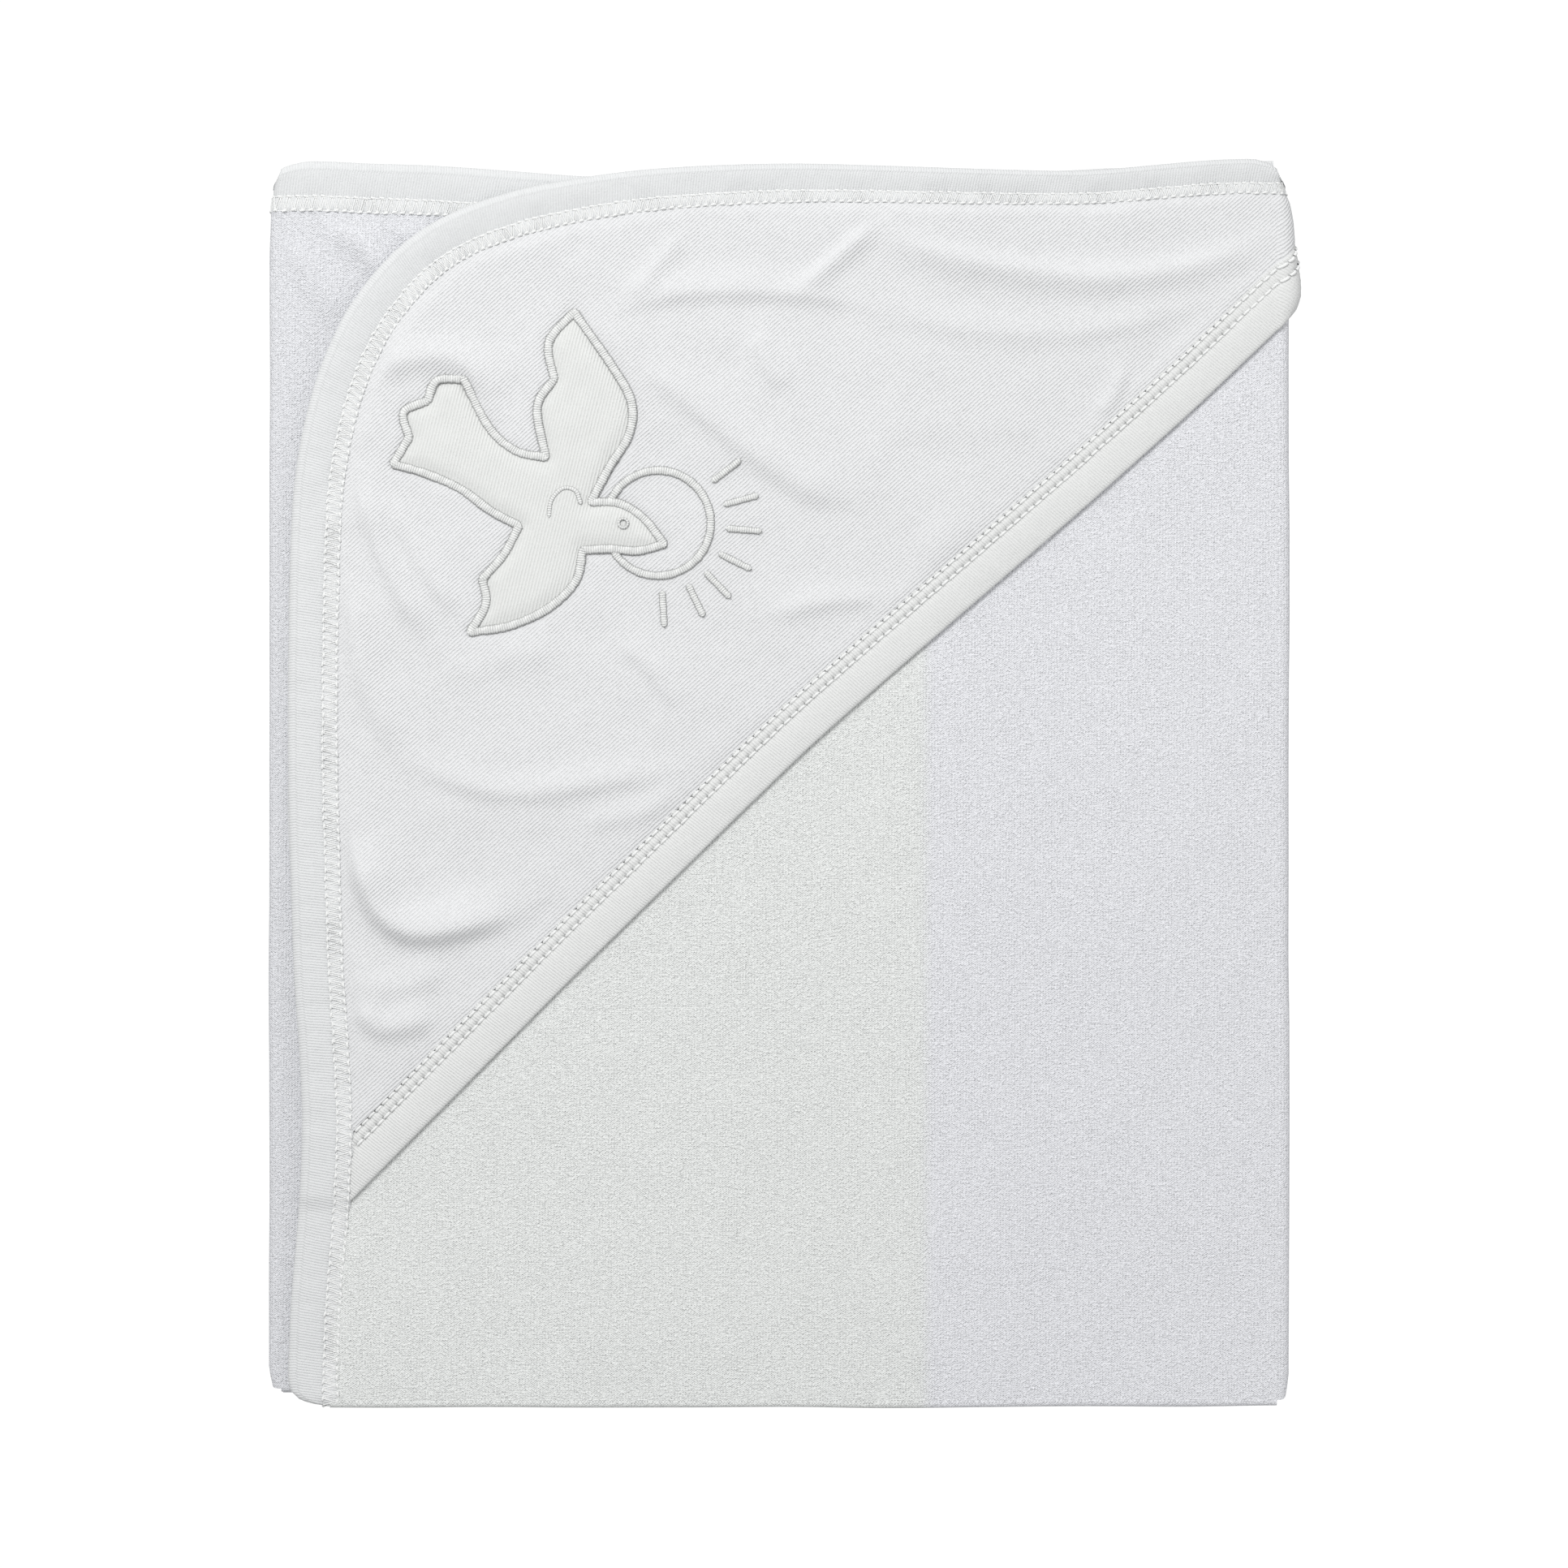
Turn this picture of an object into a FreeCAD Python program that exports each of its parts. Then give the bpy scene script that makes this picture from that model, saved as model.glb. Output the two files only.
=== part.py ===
import FreeCAD, Part
import math
import os
import Sketcher

# Hooded baby towel, folded flat.  Units are millimetres.
# +X runs along the width of the folded bundle, +Y towards its upper edge, +Z up.
# The cloth is folded once across (half fold, along the lower edge) and then
# twice lengthwise like an accordion, so three double-ply layers lie on each other:
#   bottom layer (z 0..4), middle layer (z 4..8), top layer (z 8..12),
# with the one-ply hood lying on the top layer.  Right of the bottom layer's free
# edge the two upper layers and the hood step down.

V = FreeCAD.Vector
doc = FreeCAD.newDocument("hooded_towel")
NODES = []                      # every piece to export

# ---------------------------------------------------------------- sizes
SIZES = [
    ("ply_pair", 4.0),          # one double-ply layer
    ("ply_gap", 0.1),           # slit between the two plies of a layer
    ("hood_thick", 1.2),        # hood jersey
    ("bind_width", 14.6),       # edge binding, finished width
    ("bind_leaf", 0.5),         # one leaf of the folded binding tape
    ("bind_nose", 1.0),         # closed outer edge of the binding
    ("cover_inner", 10.2),      # coverstitch band starts this far from the edge
    ("cover_depth", 0.3),       # coverstitch thread height
    ("hem_width", 15.0),        # hood opening tape, finished width
    ("hem_thick", 1.4),         # hood opening tape
    ("hem_leaf", 0.35),         # one leaf of the hood opening tape
    ("needle_low", 10.2),       # needle rows, distance from the hem fold
    ("needle_high", 13.7),
    ("needle_width", 0.8),
    ("needle_depth", 0.2),
    ("layer_drop", 2.8),        # upper layers step down past the bottom layer
    ("drop_start", 42.6),       # X range of that step
    ("drop_end", 52.0),
    ("left_centre", -151.5),    # X of the left fold's axis
    ("right_centre", 148.4),    # X of the right fold's axis
    ("half_fold_top", -185.5),  # Y of the fold's centre along the lower edge
    ("half_fold_middle", -181.5),
    ("half_fold_bottom", -182.0),
    ("bottom_end", 42.4),       # free long edge of the bottom layer
    ("lip_depth", 45.0),        # lifting part of the hood edge
    ("lip_margin", 60.0),       # sewn part of the hood edge at each end
    ("satin_width", 2.1),
    ("satin_height", 0.8),
    ("patch_height", 0.5),
    ("ring_radius", 15.8),
    ("ring_x", -37.8),
    ("ring_y", 78.3),
    ("ray_inner", 21.2),
    ("ray_outer", 30.4),
    ("ray_width", 1.5),
    ("eye_radius", 1.7),
    ("eye_width", 0.9),
]
sheet = doc.addObject("Spreadsheet::Sheet", "Sizes")
for row, (name, value) in enumerate(SIZES, start=1):
    sheet.set("A%d" % row, name)
    sheet.set("B%d" % row, str(value))
    sheet.setAlias("B%d" % row, name)
doc.recompute()


def size(name):
    return float(getattr(sheet, name))


LAYER_THICK = size("ply_pair")
HALF_LAYER = LAYER_THICK / 2.0
HALF_SLIT = size("ply_gap") / 2.0
HOOD_THICK = size("hood_thick")
BIND_WIDTH = size("bind_width")
BIND_LEAF = size("bind_leaf")
BIND_NOSE = size("bind_nose")
COVER_DEPTH = size("cover_depth")
DROP = size("layer_drop")
DROP_START = size("drop_start")
DROP_END = size("drop_end")
LEFT_X = size("left_centre")
RIGHT_X = size("right_centre")
HOOD_UNDER = 3 * LAYER_THICK            # underside of the hood
HOOD_FACE = HOOD_UNDER + HOOD_THICK     # upper face of the hood
FAR = 200.0                             # X beyond the whole bundle, either side

# ---------------------------------------------------------------- outlines
# All outlines are (x, y) points with the cloth on the right-hand side of travel.
# Bound edge of the top layer: from the lower left corner up the side, round the
# hood corner and along the upper edge to the right fold.
TOP_EDGE = [
    (-149.1, -188.0), (-149.0, -179.2), (-148.8, -170.0),
    (-148.3, -157.0), (-147.0, -140.9), (-146.0, -129.0), (-145.1, -113.1), (-144.9, -99.0),
    (-145.7, -80.5), (-147.3, -57.0), (-148.3, -26.1), (-149.0, 0.0), (-149.1, 28.3),
    (-148.9, 45.0), (-148.6, 62.0), (-148.1, 77.0), (-147.3, 89.0), (-145.9, 99.5),
    (-143.7, 110.4), (-140.5, 121.9), (-136.2, 132.8), (-130.9, 143.0), (-124.3, 152.2),
    (-116.7, 160.4), (-107.6, 167.4), (-97.4, 172.7), (-86.5, 176.6), (-75.3, 179.6),
    (-56.8, 182.8), (-42.0, 184.6), (-25.8, 185.7), (-8.0, 186.3), (8.3, 186.4),
    (30.0, 185.8), (51.9, 185.1), (73.6, 184.7), (85.6, 184.7), (95.3, 185.0),
    (106.3, 185.8), (117.0, 186.8), (128.0, 187.6), (137.7, 187.9), (148.4, 187.4)]
# Upper edge of the middle layer, from the left fold to the right fold.
MIDDLE_EDGE = [
    (-151.5, 186.2), (-148.2, 187.0), (-131.9, 187.4), (-113.4, 186.8), (-97.0, 185.8),
    (-80.7, 184.5), (-56.8, 183.0), (-20.0, 182.6), (30.0, 182.8), (80.0, 183.2),
    (120.0, 184.4), (148.4, 185.2)]
# Upper edge of the bottom layer from the left fold, then down its free long edge.
BOTTOM_EDGE = [
    (-151.5, 185.8), (-120.0, 185.8), (-80.0, 183.8), (-40.0, 182.2), (0.0, 182.2),
    (42.4, 181.8), (42.4, 120.0), (42.4, 40.0), (42.4, -60.0), (42.4, -188.0)]
# Fold edge of the hood opening, from the left binding to the right fold.
# The hood itself is on the left-hand side of this one.
HEM = [
    (-150.0, -144.6), (-141.0, -135.9), (-130.9, -126.0), (-115.0, -110.0), (-99.0, -93.9),
    (-82.0, -76.8), (-64.9, -59.6), (-46.6, -41.6), (-28.3, -23.8), (-10.0, -5.9),
    (8.3, 11.6), (27.8, 28.9), (48.0, 46.4), (69.2, 64.7), (95.0, 87.4), (121.4, 110.4),
    (136.4, 125.0), (148.4, 136.4)]
# Area cut away to round off the lower left corner of the top layer.
CORNER = [(-152.0, -190.0), (-152.0, -178.0), (-149.0, -179.2), (-148.3, -182.4),
          (-145.5, -185.0), (-141.5, -186.0), (-141.5, -190.0)]
# The hood edge meets the left binding at this Y; the hood lies above it.
HOOD_END = -125.0
HOOD_ZONE = [(-FAR, HOOD_END), (FAR, HOOD_END), (FAR, 220), (-FAR, 220)]


def right_normal(start, end):
    """Unit normal to the right of a segment, or None for a segment of no length."""
    dx, dy = end[0] - start[0], end[1] - start[1]
    length = math.hypot(dx, dy)
    return None if length < 1e-9 else (dy / length, -dx / length)


def offset(path, distance):
    """Open path moved by distance to its right-hand side."""
    moved = []
    last = len(path) - 1
    for i, point in enumerate(path):
        first = right_normal(path[max(i - 1, 0)], point)
        second = right_normal(point, path[min(i + 1, last)])
        first = first or second
        second = second or first
        x, y = first[0] + second[0], first[1] + second[1]
        mitre = 2.0 / (x * x + y * y)
        moved.append((point[0] + distance * x * mitre, point[1] + distance * y * mitre))
    return moved


def tidy(path, spacing=0.4):
    """Drop points crowded together by an inward offset of a tight corner."""
    kept = [path[0]]
    for x, y in path[1:]:
        if math.hypot(x - kept[-1][0], y - kept[-1][1]) > spacing:
            kept.append((x, y))
    return kept


def beyond(start, end, length):
    """Point that lies length past the end of a segment."""
    dx, dy = end[0] - start[0], end[1] - start[1]
    ratio = length / math.hypot(dx, dy)
    return (end[0] + dx * ratio, end[1] + dy * ratio)


def extend(path, before, after):
    """Lengthen both ends of a path in their own direction."""
    return ([beyond(path[1], path[0], before)] + list(path)
            + [beyond(path[-2], path[-1], after)])


# ---------------------------------------------------------------- solids
def loop(vectors):
    return Part.makePolygon(vectors + [vectors[0]])


def sweep(vectors, direction):
    """Solid made by extruding a closed polygon."""
    return Part.Face(loop(vectors)).extrude(direction)


def prism(points, z0=-8.0, z1=20.0):
    """Upright solid over an (x, y) outline; by default taller than the bundle."""
    return sweep([V(x, y, z0) for x, y in points], V(0, 0, z1 - z0))


def fall(x, cranked):
    """How far a layer has stepped down at x."""
    if not cranked:
        return 0.0
    return DROP * min(max((x - DROP_START) / (DROP_END - DROP_START), 0.0), 1.0)


def stations(x0, x1, cranked):
    """X values between which a layer is straight."""
    bends = [x for x in (DROP_START, DROP_END) if x0 < x < x1] if cranked else []
    return [x0] + bends + [x1]


def slab(z0, z1, x0=-FAR, x1=RIGHT_X, cranked=True):
    """Sheet between two heights; a cranked one steps down past the bottom layer."""
    xs = stations(x0, x1, cranked)
    low = [V(x, -250, z0 - fall(x, cranked)) for x in xs]
    high = [V(x, -250, z1 - fall(x, cranked)) for x in reversed(xs)]
    return sweep(low + high, V(0, 500, 0))


def fused(shapes):
    joined = shapes[0] if len(shapes) == 1 else shapes[0].fuse(shapes[1:])
    joined = joined.removeSplitter()
    return joined.Solids[0] if len(joined.Solids) == 1 else joined


def add(label, shape):
    piece = doc.addObject("Part::Feature", label)
    piece.Label = label
    piece.Shape = shape
    piece.Placement = FreeCAD.Placement()
    NODES.append(piece)


# ---------------------------------------------------------------- layers
class Layer:
    """One double-ply layer; its X limits, and those of its half fold, are pairs."""

    def __init__(self, name, edge, underside, limits, fold_limits, cranked):
        self.name = name
        self.edge = edge
        self.underside = underside
        self.limits = limits
        self.fold_limits = fold_limits
        self.cranked = cranked
        self.fold_y = size("half_fold_" + name)

    def plies(self):
        """Height ranges of the lower and the upper ply."""
        z = self.underside
        return ((z, z + HALF_LAYER - HALF_SLIT),
                (z + HALF_LAYER + HALF_SLIT, z + LAYER_THICK))

    def sheet(self, z0, z1, margin=0.0):
        x0, x1 = self.limits
        return slab(z0, z1, x0 - margin, x1 + margin, self.cranked)

    def outline(self, inset):
        """Outline of everything further than inset from the bound edge."""
        path = tidy(offset(self.edge, inset))
        fold_y = self.fold_y
        if self.name == "middle":
            path = extend(path, 30.0, 30.0)
            return path + [(path[-1][0], fold_y), (path[0][0], fold_y)]
        if self.name == "top":
            longer = extend(path, 5.0, 30.0)
            above = [point for point in longer if point[1] > fold_y + 0.5]
            return [(path[0][0], fold_y)] + above + [(longer[-1][0], fold_y)]
        longer = extend(path, 30.0, 5.0)
        above = [point for point in longer if point[1] > fold_y + 0.5]
        return above + [(path[-1][0], fold_y), (above[0][0], fold_y)]

    def inside(self, inset):
        return prism(self.outline(inset))

    def band(self, near, far):
        """Strip along the bound edge between two distances from it."""
        return self.inside(near).cut(self.inside(far))


FOLD_SETBACK = 1.5      # the bottom half fold stops this far short of the free edge
BOTTOM = Layer("bottom", BOTTOM_EDGE, 0.0, (LEFT_X, FAR),
               (LEFT_X, size("bottom_end") - FOLD_SETBACK), False)
MIDDLE = Layer("middle", MIDDLE_EDGE, LAYER_THICK, (LEFT_X, RIGHT_X),
               (LEFT_X, RIGHT_X), True)
TOP = Layer("top", TOP_EDGE, 2 * LAYER_THICK, (-FAR, RIGHT_X),
            (CORNER[-1][0], RIGHT_X), True)


def half_fold(layer):
    """Rounded fold that joins the two plies of a layer along the lower edge."""
    slit_depth = 0.4
    fold_y = layer.fold_y
    centre_z = layer.underside + HALF_LAYER
    profile = []
    for i in range(9):
        angle = math.radians(-90.0 - 180.0 * i / 8.0)
        profile.append((fold_y + HALF_LAYER * math.cos(angle),
                        centre_z + HALF_LAYER * math.sin(angle)))
    profile += [(fold_y, centre_z + HALF_SLIT), (fold_y - slit_depth, centre_z + HALF_SLIT),
                (fold_y - slit_depth, centre_z - HALF_SLIT), (fold_y, centre_z - HALF_SLIT)]
    xs = stations(*layer.fold_limits, layer.cranked)
    parts = []
    for start, end in zip(xs, xs[1:]):
        start_fall, end_fall = fall(start, layer.cranked), fall(end, layer.cranked)
        parts.append(sweep([V(start, y, z - start_fall) for y, z in profile],
                           V(end - start, 0, start_fall - end_fall)))
    return parts


def layer_cloth(layer):
    """Two plies of terry joined by the half fold; thinner where the binding holds them."""
    inner = layer.inside(BIND_WIDTH)
    edge = layer.inside(BIND_NOSE)
    parts = []
    for low, high in layer.plies():
        parts.append(layer.sheet(low, high).common(inner))
        parts.append(layer.sheet(low + BIND_LEAF, high - BIND_LEAF).common(edge))
    if layer is TOP:
        corner = prism(CORNER)
        parts = [part.cut(corner) for part in parts]
    add(layer.name + "_layer_cloth", fused(parts + half_fold(layer)))


def cover_hood_edge(layer, z1, tape, thread, whole, core, stitched):
    """Raise the tape and its coverstitch over the hood wherever the hood is caught."""
    overlap = 0.001
    riser_length = 0.3
    zone = prism(HOOD_ZONE)
    top = layer.sheet(z1, z1 + HOOD_THICK).common(whole).common(zone)
    hollow = layer.sheet(z1 - BIND_LEAF - overlap, z1 + HOOD_THICK - BIND_LEAF, 1)
    top = top.cut(hollow.common(core).common(zone))
    tape = tape.cut(layer.sheet(z1 - BIND_LEAF, z1 + 1, 1).common(core).common(zone))
    tape = fused([tape, top])
    low = thread.cut(zone)
    high = layer.sheet(z1 + HOOD_THICK - COVER_DEPTH, z1 + HOOD_THICK)
    high = high.common(stitched).common(zone)
    tape = tape.cut(low).cut(high)
    riser_start = HOOD_END - riser_length
    riser = layer.sheet(z1 - COVER_DEPTH, z1 + HOOD_THICK).common(stitched).common(
        prism([(-FAR, riser_start), (FAR, riser_start), (FAR, HOOD_END), (-FAR, HOOD_END)]))
    return tape, fused([low, high, riser])


def binding(layer, side, z0, z1, hooded):
    """Folded tape round the edge of one ply, with a groove for its coverstitch."""
    whole = layer.band(0.0, BIND_WIDTH)
    core = layer.inside(BIND_NOSE)
    tape = layer.sheet(z0, z1).common(whole)
    tape = tape.cut(layer.sheet(z0 + BIND_LEAF, z1 - BIND_LEAF, 1).common(core))
    if layer is TOP:
        tape = tape.cut(prism(CORNER))
    stitched = layer.band(size("cover_inner"), BIND_WIDTH)
    thread = layer.sheet(z1 - COVER_DEPTH, z1).common(stitched)
    if hooded:
        tape, thread = cover_hood_edge(layer, z1, tape, thread, whole, core, stitched)
    else:
        tape = tape.cut(thread)
        thread = fused([thread])
    add("%s_binding_%s" % (layer.name, side), fused([tape]))
    add("%s_coverstitch_%s" % (layer.name, side), thread)


for layer in (BOTTOM, MIDDLE, TOP):
    layer_cloth(layer)

# The accordion fold turns the middle layer over, so its front ply is the lower one.
for layer, sides in ((BOTTOM, ("back", "front")),
                     (MIDDLE, ("front", "back")),
                     (TOP, ("back", "front"))):
    for side, (low, high) in zip(sides, layer.plies()):
        binding(layer, side, low, high, layer is TOP and side == "front")


# ---------------------------------------------------------------- folds
RIGHT_Z = 2 * LAYER_THICK - DROP    # interface of top and middle layer, right fold
LEFT_Z = LAYER_THICK                # interface of middle and bottom layer, left fold
RIGHT_TOP_Y = TOP_EDGE[-1][1]       # upper edge at the right fold
LEFT_TOP_Y = 186.0                  # upper edge at the left fold
RIGHT_LOW_Y = -184.6                # lower ends of the folds
LEFT_LOW_Y = -181.6

# Radii (x, z) of the surfaces of the two nested plies, from the outside in.
OUTER_PLY = ((LAYER_THICK, LAYER_THICK), (HALF_LAYER + HALF_SLIT, HALF_LAYER + HALF_SLIT))
INNER_PLY = ((HALF_LAYER - HALF_SLIT, HALF_LAYER - HALF_SLIT), (0.05, 0.05))


def arc(x, z, radii, start, end, steps=12):
    """Points on an elliptic arc in the XZ plane; angles in degrees."""
    angles = [math.radians(start + (end - start) * i / steps) for i in range(steps + 1)]
    return [(x + radii[0] * math.cos(a), z + radii[1] * math.sin(a)) for a in angles]


def bend(x, z, radii, side, y0, y1):
    """Half-round strip about an axis along Y, bulging to the right (1) or left (-1)."""
    outer, inner = radii
    start, end = (-90, 90) if side > 0 else (90, 270)
    profile = arc(x, z, outer, start, end) + arc(x, z, inner, end, start)
    return sweep([V(px, y0, pz) for px, pz in profile], V(0, y1 - y0, 0))


def lengthwise_fold(name, x, z, side, low_y, top_y, inner_short):
    """Two nested plies and their bindings; the inner binding ends inner_short lower."""
    seam = top_y - BIND_WIDTH
    for label, radii, y0, y1 in (
            ("outer_ply", OUTER_PLY, low_y, seam),
            ("inner_ply", INNER_PLY, low_y, seam),
            ("binding_outer", OUTER_PLY, seam, top_y),
            ("binding_inner", INNER_PLY, seam, top_y - inner_short)):
        add("%s_fold_%s" % (name, label), bend(x, z, radii, side, y0, y1))


lengthwise_fold("right", RIGHT_X, RIGHT_Z, 1, RIGHT_LOW_Y, RIGHT_TOP_Y, 1.0)
lengthwise_fold("left", LEFT_X, LEFT_Z, -1, LEFT_LOW_Y, LEFT_TOP_Y, 0.8)

# ---------------------------------------------------------------- hood
HEM_WIDTH = size("hem_width")
HEM_NOSE = 1.2                  # closed fold edge of the hood tape
TAPE_FACE = HOOD_UNDER + size("hem_thick")
CORE_LOW = HOOD_UNDER + size("hem_leaf")    # hood cloth held inside the tape
CORE_HIGH = TAPE_FACE - size("hem_leaf")

# Straight line along the opening, with unit vector (ALONG_X, ALONG_Y).
HEM_START, HEM_FINISH = HEM[2], (RIGHT_X, 133.6)
ALONG_X, ALONG_Y = HEM_FINISH[0] - HEM_START[0], HEM_FINISH[1] - HEM_START[1]
HEM_LENGTH = math.hypot(ALONG_X, ALONG_Y)
ALONG_X, ALONG_Y = ALONG_X / HEM_LENGTH, ALONG_Y / HEM_LENGTH


def hem_band(near, far):
    """Band of the hood between two distances from its opening edge."""
    return prism(extend(offset(HEM, -near), 10, 12) + extend(offset(HEM, -far), 10, 12)[::-1])


def hood_inside(inset):
    """All of the hood further than inset from its opening edge."""
    path = extend(offset(HEM, -inset), 60, 60)
    return prism(path + [(path[-1][0] + 10, 260.0), (-260.0, 260.0), (-260.0, path[0][1])])


def lip_zone():
    """Rectangle of the hood edge that can be lifted."""
    overhang = -12.0
    depth = size("lip_depth")
    start = size("lip_margin")
    end = HEM_LENGTH - start
    return prism([(HEM_START[0] + ALONG_X * along - ALONG_Y * across,
                   HEM_START[1] + ALONG_Y * along + ALONG_X * across)
                  for along, across in ((start, overhang), (end, overhang),
                                        (end, depth), (start, depth))])


def hood_panel(within):
    """Hood cloth, with its edges inside the opening tape and the binding."""
    panel = slab(HOOD_UNDER, HOOD_FACE).common(hood_inside(HEM_WIDTH)).common(within)
    core = slab(CORE_LOW, CORE_HIGH).common(hem_band(HEM_NOSE, HEM_WIDTH + 0.01))
    core = core.common(within)
    tuck = slab(HOOD_UNDER - BIND_LEAF, HOOD_FACE - BIND_LEAF).common(hood_inside(HEM_WIDTH))
    tuck = tuck.common(TOP.inside(BIND_NOSE)).cut(within).common(prism(HOOD_ZONE))
    return fused([panel, core, tuck])


def hood_tape(within):
    """Folded tape along the opening, before the needle rows are sunk into it."""
    tape = slab(HOOD_UNDER, TAPE_FACE).common(hem_band(0.0, HEM_WIDTH)).common(within)
    return tape.cut(slab(CORE_LOW, CORE_HIGH, -210, 210)
                    .common(hem_band(HEM_NOSE, HEM_WIDTH + 5)))


def needle_row(distance, within):
    half = size("needle_width") / 2
    row = slab(TAPE_FACE - size("needle_depth"), TAPE_FACE)
    return row.common(hem_band(distance - half, distance + half)).common(within)


def add_split(name, shape, lip):
    """Add the lifting part of a hood piece and the part or parts that stay."""
    moving = shape.common(lip)
    still = shape.cut(lip)
    add("hood_lip_" + name, fused([moving]))
    if len(still.Solids) == 1:
        add("hood_" + name, still.Solids[0])
    else:
        parts = sorted(still.Solids, key=lambda part: part.BoundBox.XMin)
        add("hood_%s_left" % name, parts[0])
        add("hood_%s_right" % name, parts[1])


def flat_hood():
    within = TOP.inside(BIND_WIDTH)
    lip = lip_zone()
    panel = hood_panel(within)
    tape = hood_tape(within)
    rows = {name: needle_row(size(name), within) for name in ("needle_low", "needle_high")}
    for row in rows.values():
        tape = tape.cut(row)
    add_split("panel", panel, lip)
    add_split("tape", tape, lip)
    for name, row in rows.items():
        add_split(name, row, lip)


def wrap_zone(top_y, rise, height):
    """Space on the +Y side of a sloping line that gains rise from height down to z 0."""
    return sweep([V(100, top_y, height), V(100, top_y + rise, 0),
                  V(100, 400, 0), V(100, 400, height)], V(100, 0, 0))


def wrapped_hood():
    """Hood and its tape round the right fold, and their small ends underneath.

    The opening edge moves towards +Y as the hood passes below.
    """
    rise = 14.0
    face = HOOD_FACE - DROP
    radii = ((6.4, face - RIGHT_Z), (4.05, LAYER_THICK))
    full = bend(RIGHT_X, RIGHT_Z, radii, 1, 100, RIGHT_TOP_Y)
    hem_low = HEM[-1][1]
    hem_high = hem_low + HEM_WIDTH / ALONG_X
    high_zone = wrap_zone(hem_high, rise, face)
    add("right_fold_hood", fused([full.common(high_zone)]))
    add("right_fold_hood_tape",
        fused([full.common(wrap_zone(hem_low, rise, face)).cut(high_zone)]))

    low_y, high_y = hem_low + rise, hem_high + rise
    slope = ALONG_Y / ALONG_X
    hood_x = RIGHT_X - (RIGHT_TOP_Y - high_y) / slope
    tape_x = RIGHT_X - (RIGHT_TOP_Y - low_y) / slope
    add("hood_end_under",
        prism([(RIGHT_X, high_y), (RIGHT_X, RIGHT_TOP_Y), (hood_x, RIGHT_TOP_Y)],
              0.0, HOOD_THICK))
    add("hood_tape_end_under",
        prism([(RIGHT_X, low_y), (RIGHT_X, high_y), (hood_x, RIGHT_TOP_Y),
               (tape_x, RIGHT_TOP_Y)], 0.0, HOOD_THICK))


flat_hood()
wrapped_hood()

# ---------------------------------------------------------------- embroidery
# Closed (x, y) outline of the bird, and the indices of its sharp points.
BIRD = [(-36.0, 72.0), (-42.0, 79.6), (-49.5, 84.2), (-58.0, 84.6), (-52.5, 95.0),
        (-46.5, 105.0), (-45.8, 114.5), (-51.0, 124.5), (-63.0, 141.6), (-70.5, 132.5),
        (-69.0, 121.5), (-74.0, 113.0), (-71.5, 98.0), (-80.5, 100.0), (-88.5, 107.0),
        (-96.0, 121.4), (-104.0, 121.0), (-107.0, 115.0), (-114.0, 111.5), (-112.5, 104.0),
        (-117.2, 96.0), (-107.5, 93.2), (-97.0, 88.5), (-88.0, 82.0), (-79.5, 77.5),
        (-84.0, 69.0), (-90.5, 61.5), (-89.5, 54.0), (-94.2, 45.5), (-82.0, 47.6),
        (-70.5, 53.0), (-62.5, 61.0), (-60.5, 70.2), (-52.0, 70.6), (-44.0, 70.0)]
BIRD_SHARP = {0, 3, 8, 10, 12, 15, 17, 19, 20, 24, 26, 28, 32}
WING_LINE = [(-70.5, 80.0), (-69.8, 85.0), (-66.5, 88.6), (-62.6, 88.0), (-60.9, 84.0)]
WING_LINE_WIDTH = 1.2
EYE_CENTRE = (-48.2, 78.2)
RING_CENTRE = (size("ring_x"), size("ring_y"))
RAY_ANGLES = (37.5, 15.5, -4.5, -26.5, -46.0, -64.0, -86.5)    # degrees from +X
SATIN_HALF = size("satin_width") / 2
RING_CLEARANCE = 0.02           # between the satin ring and the bird's outline
PATCH_FACE = HOOD_FACE + size("patch_height")


def smooth(points, sharp, steps=5):
    """Closed Hermite curve through points; the sharp ones stay corners."""
    curve = []
    count = len(points)
    for i in range(count):
        j = (i + 1) % count
        before, start = points[i - 1], points[i]
        end, after = points[j], points[(i + 2) % count]
        chord = [(end[axis] - start[axis]) * 0.9 for axis in (0, 1)]
        leave = chord if i in sharp else [(end[axis] - before[axis]) / 2 for axis in (0, 1)]
        arrive = chord if j in sharp else [(after[axis] - start[axis]) / 2 for axis in (0, 1)]
        for step in range(steps):
            u = step / steps
            weights = (2 * u**3 - 3 * u**2 + 1, u**3 - 2 * u**2 + u,
                       -2 * u**3 + 3 * u**2, u**3 - u**2)
            curve.append(tuple(
                weights[0] * start[axis] + weights[1] * leave[axis]
                + weights[2] * end[axis] + weights[3] * arrive[axis] for axis in (0, 1)))
    return curve


def bird_offset(distance):
    """Points of the bird's outline grown by distance."""
    outline = loop([V(x, y, 0) for x, y in smooth(BIRD, BIRD_SHARP)])
    grown = outline.makeOffset2D(distance, 0, False, False)
    # An offset that falls apart comes back as a compound; its longest wire counts.
    if not isinstance(grown, Part.Wire):
        grown = max(grown.Wires, key=lambda part: part.Length)
    return [(point.x, point.y) for point in grown.discretize(Deflection=0.03)][:-1]


def polygon(points):
    """Drawer of a closed polygon."""
    def draw(sketch):
        count = len(points)
        first = sketch.GeometryCount
        for i in range(count):
            start, end = points[i], points[(i + 1) % count]
            sketch.addGeometry(Part.LineSegment(V(*start, 0), V(*end, 0)), False)
        for i in range(count):
            sketch.addConstraint(Sketcher.Constraint("Coincident", first + i, 2,
                                                     first + (i + 1) % count, 1))
    return draw


def bound(sketch, expression, *constraint):
    """Add a dimension that follows an expression."""
    index = sketch.addConstraint(Sketcher.Constraint(*constraint))
    sketch.setExpression("Constraints[%d]" % index, expression)


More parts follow.
